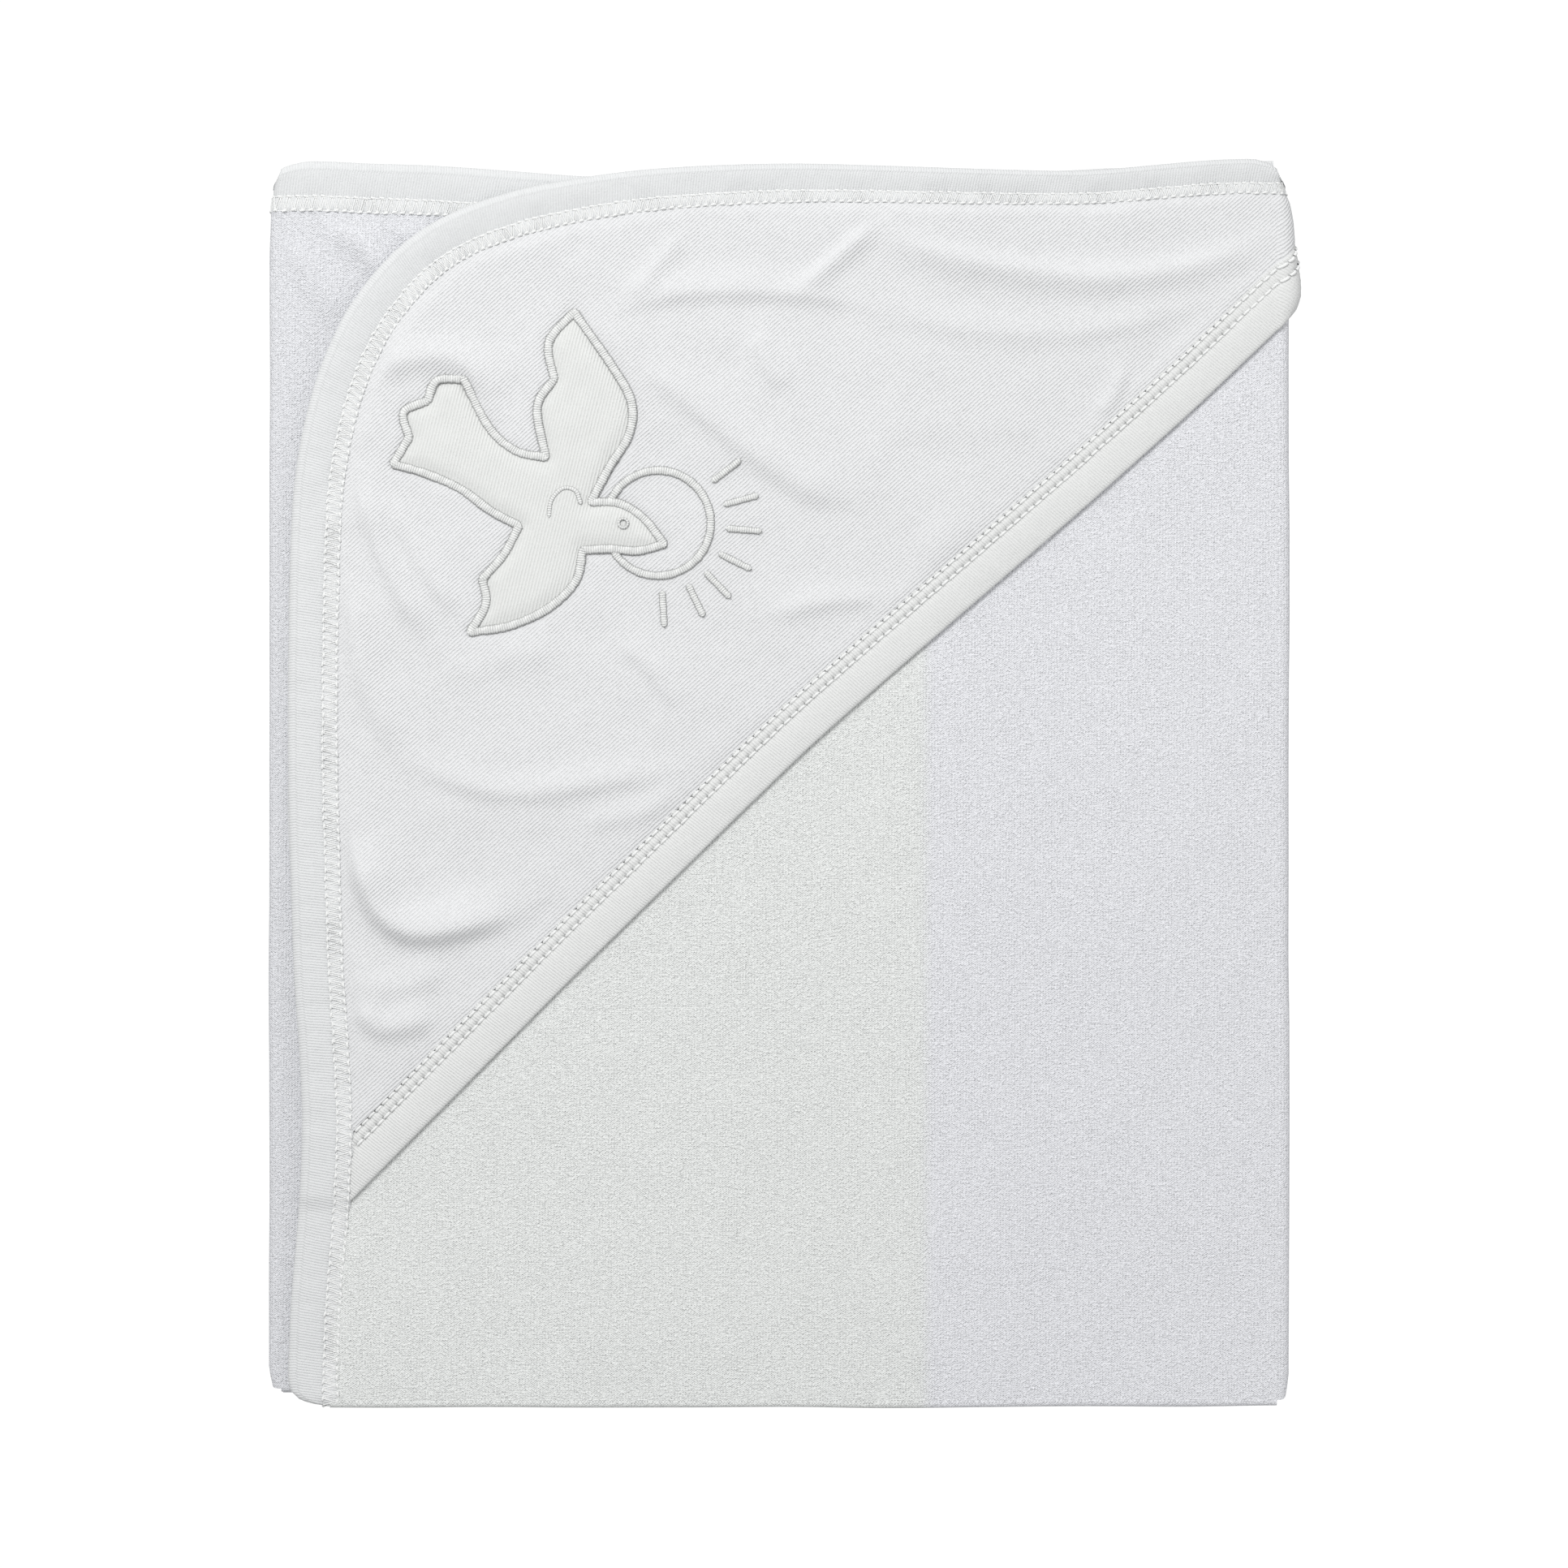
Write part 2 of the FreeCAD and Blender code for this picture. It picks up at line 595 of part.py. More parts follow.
def circle(centre, expression):
    """Drawer of a circle whose radius follows an expression."""
    def draw(sketch):
        start_radius = 5.0
        x, y = centre
        ring = sketch.addGeometry(Part.Circle(V(x, y, 0), V(0, 0, 1), start_radius), False)
        sketch.addConstraint(Sketcher.Constraint("DistanceX", -1, 1, ring, 3, x))
        sketch.addConstraint(Sketcher.Constraint("DistanceY", -1, 1, ring, 3, y))
        bound(sketch, expression, "Radius", ring, start_radius)
    return draw


def draw_ray(sketch):
    """Rounded bar lying along X from the inner to the outer radius."""
    radius = size("ray_width") / 2
    inner, outer = size("ray_inner"), size("ray_outer")

    def line(x0, x1, y):
        sketch.addGeometry(Part.LineSegment(V(x0, y, 0), V(x1, y, 0)), False)

    def round_end(x, start):
        end_circle = Part.Circle(V(x, 0, 0), V(0, 0, 1), radius)
        sketch.addGeometry(Part.ArcOfCircle(end_circle, start, start + math.pi), False)

    line(inner, outer, -radius)
    round_end(outer, -math.pi / 2)
    line(outer, inner, radius)
    round_end(inner, math.pi / 2)
    for i in range(4):
        sketch.addConstraint(Sketcher.Constraint("Tangent", i, 2, (i + 1) % 4, 1))
    sketch.addConstraint(Sketcher.Constraint("Horizontal", 0))
    sketch.addConstraint(Sketcher.Constraint("PointOnObject", 1, 3, -1))
    bound(sketch, "Sizes.ray_outer", "DistanceX", -1, 1, 1, 3, outer)
    bound(sketch, "Sizes.ray_inner", "DistanceX", -1, 1, 3, 3, inner)
    bound(sketch, "Sizes.ray_width / 2", "Radius", 1, radius)


def add_sketch(body, name, drawers):
    plane = [f for f in body.Origin.OriginFeatures if f.Role == "XY_Plane"][0]
    sketch = body.newObject("Sketcher::SketchObject", name)
    sketch.AttachmentSupport = [(plane, "")]
    sketch.MapMode = "FlatFace"
    for draw in drawers:
        draw(sketch)
    return sketch


def stitching(label, drawers, height, z, cutout=None, centre=(0, 0), angle=0):
    """Padded body of closed outlines; height is the name of a size."""
    body = doc.addObject("PartDesign::Body", label)
    body.Label = label
    sketch = add_sketch(body, label + "_sketch", drawers)
    pad = body.newObject("PartDesign::Pad", label + "_pad")
    pad.Profile = sketch
    pad.setExpression("Length", "Sizes." + height)
    body.Tip = pad
    if cutout:
        hole = add_sketch(body, label + "_cut0", [cutout])
        pocket = body.newObject("PartDesign::Pocket", label + "_pocket0")
        pocket.Profile = hole
        pocket.Type = 1         # through all
        pocket.Midplane = True
        body.Tip = pocket
    body.Placement = FreeCAD.Placement(V(*centre, z), FreeCAD.Rotation(V(0, 0, 1), angle))
    NODES.append(body)


def bird():
    outer, inner = bird_offset(SATIN_HALF), bird_offset(-SATIN_HALF)
    stitching("bird_patch", [polygon(inner)], "patch_height", HOOD_FACE)
    stitching("bird_outline", [polygon(outer), polygon(inner)], "satin_height", HOOD_FACE)
    stitching("bird_eye", [circle(EYE_CENTRE, "Sizes.eye_radius"),
                           circle(EYE_CENTRE, "Sizes.eye_radius - Sizes.eye_width")],
              "cover_depth", PATCH_FACE)
    wing = (offset(WING_LINE, -WING_LINE_WIDTH / 2)
            + offset(WING_LINE, WING_LINE_WIDTH / 2)[::-1])
    stitching("bird_wing_line", [polygon(wing)], "cover_depth", PATCH_FACE)


def sun():
    """Ring interrupted by the bird, with rays round its right side."""
    stitching("satin_ring",
              [circle(RING_CENTRE, "Sizes.ring_radius + Sizes.satin_width / 2"),
               circle(RING_CENTRE, "Sizes.ring_radius - Sizes.satin_width / 2")],
              "satin_height", HOOD_FACE,
              cutout=polygon(bird_offset(SATIN_HALF + RING_CLEARANCE)))
    for number, angle in enumerate(RAY_ANGLES, start=1):
        stitching("satin_ray_%d" % number, [draw_ray], "satin_height", HOOD_FACE,
                  centre=RING_CENTRE, angle=angle)


bird()
sun()

# ---------------------------------------------------------------- output
doc.recompute()
for item in doc.Objects:
    bad = [flag for flag in item.State if flag in ("Invalid", "Error")]
    if bad:
        raise RuntimeError("%s is %s" % (item.Name, bad))
os.makedirs("parts", exist_ok=True)
for node in NODES:
    shape = node.Shape
    if shape.isNull() or not shape.isValid() or len(shape.Solids) != 1:
        raise RuntimeError("%s: %d solids" % (node.Label, len(shape.Solids)))
    shape.exportStep("parts/%s.step" % node.Label)
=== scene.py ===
"""A hooded terry towel, folded flat into three layers, with an embroidered hood corner.

It lies on the ground in the XY plane: x runs right, y away from the lower folds, z up.
The bottom layer turns into the middle one at the left fold, the middle layer into the top
one at the right fold. The bottom layer is narrower, so right of it the others lie lower.
Lengths are in mm and are turned into metres by MM.
"""
import math
from collections import namedtuple
import numpy as np
import bpy
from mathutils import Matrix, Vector
from mathutils.geometry import delaunay_2d_cdt


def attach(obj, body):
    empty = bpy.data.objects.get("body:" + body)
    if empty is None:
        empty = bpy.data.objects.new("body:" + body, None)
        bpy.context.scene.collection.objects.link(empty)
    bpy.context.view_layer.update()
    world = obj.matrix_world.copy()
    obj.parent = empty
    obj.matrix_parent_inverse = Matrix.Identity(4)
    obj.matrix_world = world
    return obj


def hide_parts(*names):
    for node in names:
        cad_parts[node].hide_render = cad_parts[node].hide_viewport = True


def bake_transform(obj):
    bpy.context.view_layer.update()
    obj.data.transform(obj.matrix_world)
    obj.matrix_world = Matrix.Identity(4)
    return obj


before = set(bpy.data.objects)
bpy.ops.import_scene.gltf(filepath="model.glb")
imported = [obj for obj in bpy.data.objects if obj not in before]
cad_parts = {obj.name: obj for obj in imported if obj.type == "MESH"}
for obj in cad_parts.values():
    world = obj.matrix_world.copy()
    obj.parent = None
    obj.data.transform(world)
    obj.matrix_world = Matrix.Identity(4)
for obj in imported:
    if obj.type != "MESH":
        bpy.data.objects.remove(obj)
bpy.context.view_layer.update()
MM = 0.001

# ------------------------------------------------------------------ sizes
PLY = 4.0                       # thickness of one layer
LAYER_Z = {"bottom": 0.0, "middle": PLY, "top": 2 * PLY}
TOWEL_TOP = 3 * PLY
DROP = 2.8                      # how much lower the two upper layers lie on the right
DROP_START, DROP_END = 40.5, 92.0
XL, XR = -151.5, 148.4          # where the left and right folds begin to turn
BOTTOM_RIGHT = 42.4             # right edge of the bottom layer
BINDING_WIDTH = 14.6
TAPE_PLY = 1.95                 # a layer's edge holds two tapes, one above the other
COVER_ROWS = (10.7, 14.9)       # stitch rows of the binding, from the edge
COVER_PITCH = 2.6
LOW_END_Y = -184.2              # below this the top binding closes

# Bound edges, x and y. They run on flat beyond the folds and are bent round them later.
TOP_EDGE = [
    (-149, -187.2), (-149, -178.6), (-148.8, -170), (-148.3, -157), (-147, -140.9),
    (-146, -129), (-145.1, -113.1), (-144.9, -99), (-145.7, -80.5), (-147.3, -57),
    (-148.3, -26.1), (-149, 0), (-149.1, 28.3), (-148.9, 45), (-148.6, 62), (-148.1, 77),
    (-147.3, 89), (-145.9, 99.5), (-143.7, 110.4), (-140.5, 121.9), (-136.2, 132.8),
    (-130.9, 143), (-124.3, 152.2), (-116.7, 160.4), (-107.6, 167.4), (-97.4, 172.7),
    (-86.5, 176.6), (-75.3, 179.6), (-56.8, 182.8), (-42, 184.6), (-25.8, 185.7),
    (-8, 186.3), (8.3, 186.4), (30, 185.8), (51.9, 185.1), (73.6, 184.7), (85.6, 184.6),
    (95.3, 185), (106.3, 185.9), (117, 186.9), (128, 187.8), (137.7, 188.2),
    (143.4, 188.2), (148.4, 188.2), (154, 188.2), (160, 188.2), (170, 188.2)]
MIDDLE_EDGE = [
    (-170, 187.4), (-161, 187.4), (-156, 187.4), (-151.5, 187.4), (-145, 187.5),
    (-131.9, 187.6), (-113.4, 186.8), (-97, 185.8), (-80.7, 184.5), (-56.8, 183),
    (-20, 182.6), (30, 182.8), (80, 183.2), (120, 184.2), (148.4, 184.4), (160, 184.4),
    (170, 184.4)]
BOTTOM_EDGE = [
    (-151.5, 184), (-120, 185.4), (-80, 183.8), (-40, 182.2), (0, 182.2), (30, 182.4),
    (38.5, 181.6), (41.8, 178.6), (42.4, 174), (42.4, 120), (42.4, 40), (42.4, -60),
    (42.4, -140), (42.4, -183)]
# Hem of the hood opening, x and y.
HEM = [
    (-141, -135.9), (-130.9, -126), (-115, -110), (-99, -93.9), (-82, -76.8),
    (-64.9, -59.6), (-46.6, -41.6), (-28.3, -23.8), (-10, -5.9), (8.3, 11.6), (27.8, 28.9),
    (48, 46.4), (69.2, 64.7), (95, 87.2), (121.4, 110.9), (136.4, 125), (148.4, 136.4)]
# Chord of the hood opening, with the direction along it and the one into the hood.
MOUTH_START, MOUTH_END = np.array([-130.9, -126.0]), np.array([148.4, 133.6])
MOUTH_LENGTH = float(np.hypot(*(MOUTH_END - MOUTH_START)))
MOUTH_ALONG = (MOUTH_END - MOUTH_START) / MOUTH_LENGTH
MOUTH_IN = np.array([-MOUTH_ALONG[1], MOUTH_ALONG[0]])
# The movable lip of the hood: its start, middle and end along the chord, and its depth.
LIP_START, LIP_MIDDLE, LIP_END = 60.0, MOUTH_LENGTH / 2, MOUTH_LENGTH - 60.0
LIP_DEPTH = 45.0

# side: sign of x; arc: flat length that turns; radius: nominal bulge; crest: y, bulge there
Fold = namedtuple("Fold", "name side x z arc radius bodies crest")
RIGHT = Fold("right", 1, XR, 2 * PLY - DROP, 14.5, 5.5, ("middle_layer", "top_layer"),
             ((138, 140, 141.5, 144, 147, 158, 160.5, 163, 169.4, 175, 179.4, 182.5, 185, 188),
              (4.6, 5.0, 5.6, 6.6, 7.2, 7.0, 6.3, 6.1, 5.5, 4.4, 2.7, 1.8, 0.6, 0.3)))
LEFT = Fold("left", -1, XL, PLY, 11.5, 4.0, ("bottom_layer", "middle_layer"),
            ((140, 160, 170, 173.4, 177.5, 181, 182.7, 185.7, 188),
             (4.0, 4.0, 3.7, 3.4, 2.8, 2.1, 1.6, 0.6, 0.3)))
HOOD_REACH = XR + RIGHT.arc     # flat x where the hood has gone round the right fold


# ------------------------------------------------------------------ curves and fields
def smooth_path(points, step):
    """Even points along a smooth curve through points, and their run along it."""
    p = np.array(points, float)
    padded = np.vstack([2 * p[0] - p[1], p, 2 * p[-1] - p[-2]])
    curve = []
    for i in range(len(p) - 1):
        before, start, end, after = padded[i:i + 4]
        for t in np.linspace(0, 1, 24, endpoint=False):
            curve.append(0.5 * ((2 * start) + (end - before) * t
                                + (2 * before - 5 * start + 4 * end - after) * t**2
                                + (3 * start - before - 3 * end + after) * t**3))
    curve.append(p[-1])
    curve = np.array(curve)
    run = np.concatenate([[0], np.cumsum(np.hypot(*np.diff(curve, axis=0).T))])
    count = max(2, int(round(run[-1] / step)) + 1)
    even = np.linspace(0, run[-1], count)
    return np.stack([np.interp(even, run, curve[:, i]) for i in (0, 1)], 1), even


def inward(path):
    """Unit normals to the right of a path."""
    g = np.gradient(path, axis=0)
    g /= np.linalg.norm(g, axis=1)[:, None]
    return np.stack([g[:, 1], -g[:, 0]], 1)


def offset_path(path, distance):
    return path + inward(path) * distance


def sweep(path, normal, across):
    """x and y of points at distances across a path, one row per path point."""
    return tuple(path[:, i, None] + normal[:, i, None] * across for i in (0, 1))


def smoothstep(x, low, high):
    t = np.clip((np.asarray(x, float) - low) / (high - low), 0, 1)
    return t * t * (3 - 2 * t)


def bell(x, centre, width):
    return np.exp(-((x - centre) / width) ** 2)


def drop(x):
    return DROP * smoothstep(x, DROP_START, DROP_END)


def layer_drop(layer, x):
    return 0 * x if layer == "bottom" else drop(x)


LATTICES = {}


def noise(x, y, scale, seed):
    """Smooth value noise in -1..1."""
    if seed not in LATTICES:
        LATTICES[seed] = np.random.default_rng(seed).uniform(-1, 1, (256, 256))
    grid = LATTICES[seed]
    u, v = np.asarray(x, float) / scale + 100.0, np.asarray(y, float) / scale + 100.0
    iu, iv = np.floor(u).astype(int), np.floor(v).astype(int)
    fu, fv = u - iu, v - iv
    fu, fv = fu * fu * (3 - 2 * fu), fv * fv * (3 - 2 * fv)
    low = grid[iu % 256, iv % 256] * (1 - fu) + grid[(iu + 1) % 256, iv % 256] * fu
    high = (grid[iu % 256, (iv + 1) % 256] * (1 - fu)
            + grid[(iu + 1) % 256, (iv + 1) % 256] * fu)
    return low * (1 - fv) + high * fv


def near(path, x, y):
    """Distance to a polyline, side (positive on its right) and place along it 0..1."""
    p = np.asarray(path, float)
    x, y = np.ravel(x).astype(float), np.ravel(y).astype(float)
    best = np.full(x.shape, 1e9)
    side = np.ones(x.shape)
    place = np.zeros(x.shape)
    lengths = np.hypot(*np.diff(p, axis=0).T)
    run = np.concatenate([[0], np.cumsum(lengths)])
    for i, length in enumerate(lengths):
        if length < 1e-9:
            continue
        d = p[i + 1] - p[i]
        t = np.clip(((x - p[i, 0]) * d[0] + (y - p[i, 1]) * d[1]) / length**2, 0, 1)
        rx, ry = x - p[i, 0] - t * d[0], y - p[i, 1] - t * d[1]
        distance = np.hypot(rx, ry)
        closer = distance < best
        best[closer] = distance[closer]
        side[closer] = np.sign(rx * d[1] - ry * d[0])[closer]
        place[closer] = ((run[i] + t * length) / run[-1])[closer]
    return best, side, place


def inside(outline, points):
    """Which points lie inside an outline."""
    p = np.asarray(outline, float)
    x, y = points[:, 0], points[:, 1]
    result = np.zeros(len(points), bool)
    for (xi, yi), (xj, yj) in zip(p, np.roll(p, 1, axis=0)):
        with np.errstate(divide="ignore", invalid="ignore"):
            result ^= (((yi > y) != (yj > y))
                       & (x < (xj - xi) * (y - yi) / (yj - yi + 1e-300) + xi))
    return result


# ------------------------------------------------------------------ meshes
def add_mesh(name, verts, faces, uv, mats, mat_index=None, normals=None):
    mesh = bpy.data.meshes.new(name)
    mesh.from_pydata((np.asarray(verts) * MM).tolist(), [], faces)
    mesh.shade_smooth()
    layer = mesh.uv_layers.new(name="UVMap")
    loops = np.empty(len(mesh.loops), int)
    mesh.loops.foreach_get("vertex_index", loops)
    # one UV unit is 100 mm
    layer.data.foreach_set("uv", (np.asarray(uv)[loops] * 0.01).astype(np.float32).ravel())
    for mat in mats:
        mesh.materials.append(mat)
    if mat_index is not None:
        mesh.polygons.foreach_set("material_index", np.asarray(mat_index, np.int32))
    if normals is not None:
        mesh.normals_split_custom_set_from_vertices([tuple(n) for n in normals])
    mesh.update()
    ob = bpy.data.objects.new(name, mesh)
    bpy.context.scene.collection.objects.link(ob)
    return ob


def quads(rows, columns, start=0, wrap=False, flip=False):
    i = np.arange(rows - 1)[:, None] * columns
    j = np.arange(columns if wrap else columns - 1)[None, :]
    k = (j + 1) % columns
    faces = np.stack([i + j, i + columns + j, i + columns + k, i + k], -1)
    faces = faces.reshape(-1, 4) + start
    return (faces[:, ::-1] if flip else faces).tolist()


def vertex_normals(points, faces, face_normals):
    normals = np.zeros_like(points)
    for corner in range(faces.shape[1]):
        np.add.at(normals, faces[:, corner], face_normals)
    return normals / (np.linalg.norm(normals, axis=1)[:, None] + 1e-12)


def separate(faces):
    """The vertices that faces use, and the faces numbered by them."""
    used, index = np.unique(faces, return_inverse=True)
    return used, index.reshape(faces.shape)


class Surfaces:
    """Collects several surfaces into one mesh with material indices."""

    def __init__(self):
        self.verts, self.faces, self.uvs, self.mats = [], [], [], []
        self.count = 0

    def add(self, verts, faces, uv, mat=0):
        verts = np.asarray(verts, float).reshape(-1, 3)
        self.verts.append(verts)
        self.uvs.append(np.asarray(uv, float).reshape(-1, 2))
        self.faces += [[i + self.count for i in face] for face in faces]
        self.mats += [mat] * len(faces)
        self.count += len(verts)

    def add_grid(self, x, y, z, u, v, flip=False):
        points = np.stack(np.broadcast_arrays(x, y, z), -1)
        uv = np.stack(np.broadcast_arrays(u, v), -1)
        self.add(points, quads(*points.shape[:2], flip=flip), uv)
        return points

    def build(self, name, mats):
        return add_mesh(name, np.vstack(self.verts), self.faces, np.vstack(self.uvs), mats,
                        self.mats)

    def split(self, mats, pick, bend):
        """Several objects from a flat surface of quads, bent and given normals first.

        pick(flat centres) gives each face the name of its object, or "" to leave it out.
        """
        flat, uv = np.vstack(self.verts), np.vstack(self.uvs)
        points = bend(flat)
        faces = np.array(self.faces)
        names = pick(flat[faces].mean(1))
        normals = vertex_normals(points, faces, np.cross(
            points[faces[:, 2]] - points[faces[:, 0]],
            points[faces[:, 3]] - points[faces[:, 1]]))
        mat_index = np.array(self.mats)
        made = {}
        for name in dict.fromkeys(names.tolist()):
            if name:
                chosen = names == name
                used, own = separate(faces[chosen])
                made[name] = add_mesh(name, points[used], own.tolist(), uv[used], mats,
                                      mat_index[chosen], normals[used])
        return made


def tubes(lines, radius, sides):
    """Vertices, faces and UV of threads that follow lines of 3D points."""
    verts, faces, uvs, base = [], [], [], 0
    angle = np.linspace(0, 2 * np.pi, sides, endpoint=False)
    for line in lines:
        line = np.asarray(line, float)
        tangent = np.gradient(line, axis=0)
        tangent /= np.linalg.norm(tangent, axis=1)[:, None] + 1e-12
        level = np.cross(tangent, np.tile([0, 0, 1.0], (len(line), 1)))
        level /= np.linalg.norm(level, axis=1)[:, None] + 1e-9
        upright = np.cross(level, tangent)
        ring = line[:, None, :] + radius * (
            np.cos(angle)[None, :, None] * level[:, None, :]
            + np.sin(angle)[None, :, None] * upright[:, None, :])
        verts.append(ring.reshape(-1, 3))
        uvs.append(np.stack([np.repeat(np.arange(len(line)) * 0.6, sides),
                             np.tile(angle, len(line))], 1))
        faces += quads(len(line), sides, base, wrap=True)
        base += len(line) * sides
    return np.vstack(verts), faces, np.vstack(uvs)


def fill(outline, spacing, extra=()):
    """Even upward triangles inside an outline; extra holds open lines kept as edges."""
    out = np.asarray(outline, float)
    low, high = out.min(0), out.max(0)
    gx = np.arange(low[0], high[0], spacing)
    gy = np.arange(low[1], high[1], spacing * 0.9)
    x, y = np.meshgrid(gx, gy)
    x = x + (np.arange(len(gy)) % 2)[:, None] * spacing / 2
    points = np.stack([x.ravel(), y.ravel()], 1)
    points = points[inside(out, points)]
    distance, _, _ = near(np.vstack([out, out[:1]]), points[:, 0], points[:, 1])
    points = points[distance > spacing * 0.45]
    count = len(out)
    coords = [Vector(p) for p in out] + [Vector(p) for p in points]
    edges = [(i, (i + 1) % count) for i in range(count)]
    for line in extra:
        start = len(coords)
        coords += [Vector(p) for p in line]
        edges += [(start + i, start + i + 1) for i in range(len(line) - 1)]
    verts, _, faces, _, _, _ = delaunay_2d_cdt(coords, edges, [list(range(count))], 1, 1e-5,
                                               True)
    verts = np.array([(p.x, p.y) for p in verts])
    faces = np.array([list(face) for face in faces if len(face) == 3])
    faces = faces[inside(out, verts[faces].mean(1))]
    result = []
    for face in faces.tolist():
        a, b, c = verts[face]
        up = (b[0] - a[0]) * (c[1] - a[1]) - (b[1] - a[1]) * (c[0] - a[0]) > 0
        result.append(face if up else face[::-1])
    return verts, result


def thin_out(points, gap):
    """Leaves out points closer than gap to the last one kept."""
    kept = []
    for p in points:
        if not kept or math.hypot(p[0] - kept[-1][0], p[1] - kept[-1][1]) > gap:
            kept.append(p)
    return kept


def closed_steps(corners, spacing):
    """Points in small steps round a closed outline, so that its triangles stay even."""
    points = []
    for a, b in zip(corners, corners[1:] + corners[:1]):
        count = max(1, int(math.hypot(b[0] - a[0], b[1] - a[1]) / spacing))
        points += [(a[0] + (b[0] - a[0]) * i / count, a[1] + (b[1] - a[1]) * i / count)
                   for i in range(count)]
    return points


def register(ob, slot, *replaced, ride=None):
    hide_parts(*replaced)
    if ride:
        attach(ob, ride)


def blend_fold(ob):
    """Bakes the object's placement into its mesh."""
    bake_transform(ob)


# ------------------------------------------------------------------ materials
def set_inputs(tree, target, inputs):
    """Links sockets and sets plain values."""
    for key, value in inputs.items():
        if isinstance(value, bpy.types.NodeSocket):
            tree.links.new(value, target.inputs[key])
        else:
            target.inputs[key].default_value = value


def node(tree, kind, inputs=None, **settings):
    made = tree.nodes.new(kind)
    for key, value in settings.items():
        setattr(made, key, value)
    set_inputs(tree, made, inputs or {})
    return made


# Line patterns: angle across the lines (degrees), period (mm), wobble, line and fibre relief.
LINE_PATTERNS = {
    "jersey": (-48, 0.92, 1, 0.30, 0.8),
    "rib": (8, 0.82, 1, 0.30, 0.8),
    "satin": (0, 0.72, 0.5, 0.55, 0.6),
    "twill": (-14, 0.95, 0.3, 0.26, 0.5),
}


def cloth_material(name, colour, pattern, bump, depth, tone, rough=1.0, sheen=0.02,
                   specular=0.15, warm=None):
    """Fabric whose fine structure is a function of the UV map.

    depth is the relief in mm, tone how much darker the colour is painted in the relief's
    hollows (painted shade), warm a second colour for the left part of the cloth.
    """
    mat = bpy.data.materials.new(name)
    mat.use_nodes = True
    tree = mat.node_tree
    uv = node(tree, "ShaderNodeUVMap", uv_map="UVMap").outputs["UV"]
    split_uv = node(tree, "ShaderNodeSeparateXYZ", {0: uv})
    across, along = split_uv.outputs[0], split_uv.outputs[1]

    def calc(operation, *values):
        return node(tree, "ShaderNodeMath", dict(enumerate(values)),
                    operation=operation).outputs[0]

    def centred(value):
        return calc("SUBTRACT", value, 0.5)

    def lines(angle, period, phase):
        k = 2 * math.pi / (period / 100.0)
        x = calc("MULTIPLY", across, k * math.cos(angle))
        xy = calc("MULTIPLY_ADD", along, k * math.sin(angle), x)
        return calc("SINE", calc("ADD", xy, phase))

    def texture(size, detail=2.0, stretch=(1, 1)):
        place = node(tree, "ShaderNodeMapping", {0: uv, "Scale": (*stretch, 1)})
        return node(tree, "ShaderNodeTexNoise", {
            "Vector": place.outputs[0], "Scale": 100.0 / size, "Detail": detail}).outputs[0]

    def wobble():
        return calc("MULTIPLY", centred(texture(4.0, stretch=stretch)), 3.0)

    # satin noise is drawn out along v, which runs across the bar
    stretch = (1, 0.02) if pattern == "satin" else (1, 1)
    fibres = centred(texture(0.55, stretch=stretch))
    if pattern == "terry":
        shift = wobble()
        columns = lines(0.0, 0.86, shift)
        rows = lines(math.pi / 2, 0.62, shift)
        slant = centred(texture(0.8, stretch=(0.55, 1)))
        height = calc("MULTIPLY_ADD", columns, 0.10, 0.5)
        height = calc("MULTIPLY_ADD", calc("MULTIPLY", columns, rows), 0.16, height)
        height = calc("MULTIPLY_ADD", slant, 0.8, height)
        height = calc("MULTIPLY_ADD", fibres, 1.6, height)
    elif pattern in LINE_PATTERNS:
        angle, period, amount, line_relief, fibre_relief = LINE_PATTERNS[pattern]
        shift = wobble()
        if amount != 1:
            shift = calc("MULTIPLY", shift, amount)
        height = calc("MULTIPLY_ADD", lines(math.radians(angle), period, shift),
                      line_relief, 0.5)
        height = calc("MULTIPLY_ADD", fibres, fibre_relief, height)
    else:
        height = calc("MULTIPLY_ADD", fibres, 0.6, 0.5)
    relief = node(tree, "ShaderNodeBump", {
        "Strength": bump, "Distance": depth * MM, "Height": height})
    # painted shade: darker colour in the hollows of the relief, lighter on its crests
    shade = calc("MULTIPLY_ADD", centred(height), tone, 1.0)
    shade = calc("MULTIPLY_ADD", centred(texture(9.0, 3.0, stretch)), 0.03, shade)
    if pattern == "satin":
        # painted shade: the bar's colour is darker at both sides, where its threads turn down
        rim = node(tree, "ShaderNodeMapRange", {
            "Value": calc("ABSOLUTE", along), "From Min": 0.55, "From Max": 1.0,
            "To Min": 1.0, "To Max": 0.50}, interpolation_type="SMOOTHSTEP")
        shade = calc("MULTIPLY", shade, rim.outputs[0])
    mix = node(tree, "ShaderNodeMix", data_type="RGBA", blend_type="MIX")
    set_inputs(tree, mix, {"A": (*colour, 1), "B": (*(warm or colour), 1), "Factor": 0.0})
    if warm:
        warmth = node(tree, "ShaderNodeMapRange", {
            "Value": across, "From Min": 0.455, "From Max": 0.40},
            interpolation_type="SMOOTHSTEP")
        set_inputs(tree, mix, {"Factor": warmth.outputs[0]})
    shaded = node(tree, "ShaderNodeVectorMath", {0: mix.outputs["Result"], "Scale": shade},
                  operation="SCALE")
    set_inputs(tree, tree.nodes["Principled BSDF"], {
        "Roughness": rough, "Specular IOR Level": specular, "Sheen Weight": sheen,
        "Sheen Roughness": 0.5, "Normal": relief.outputs[0],
        "Base Color": shaded.outputs[0]})
    return mat


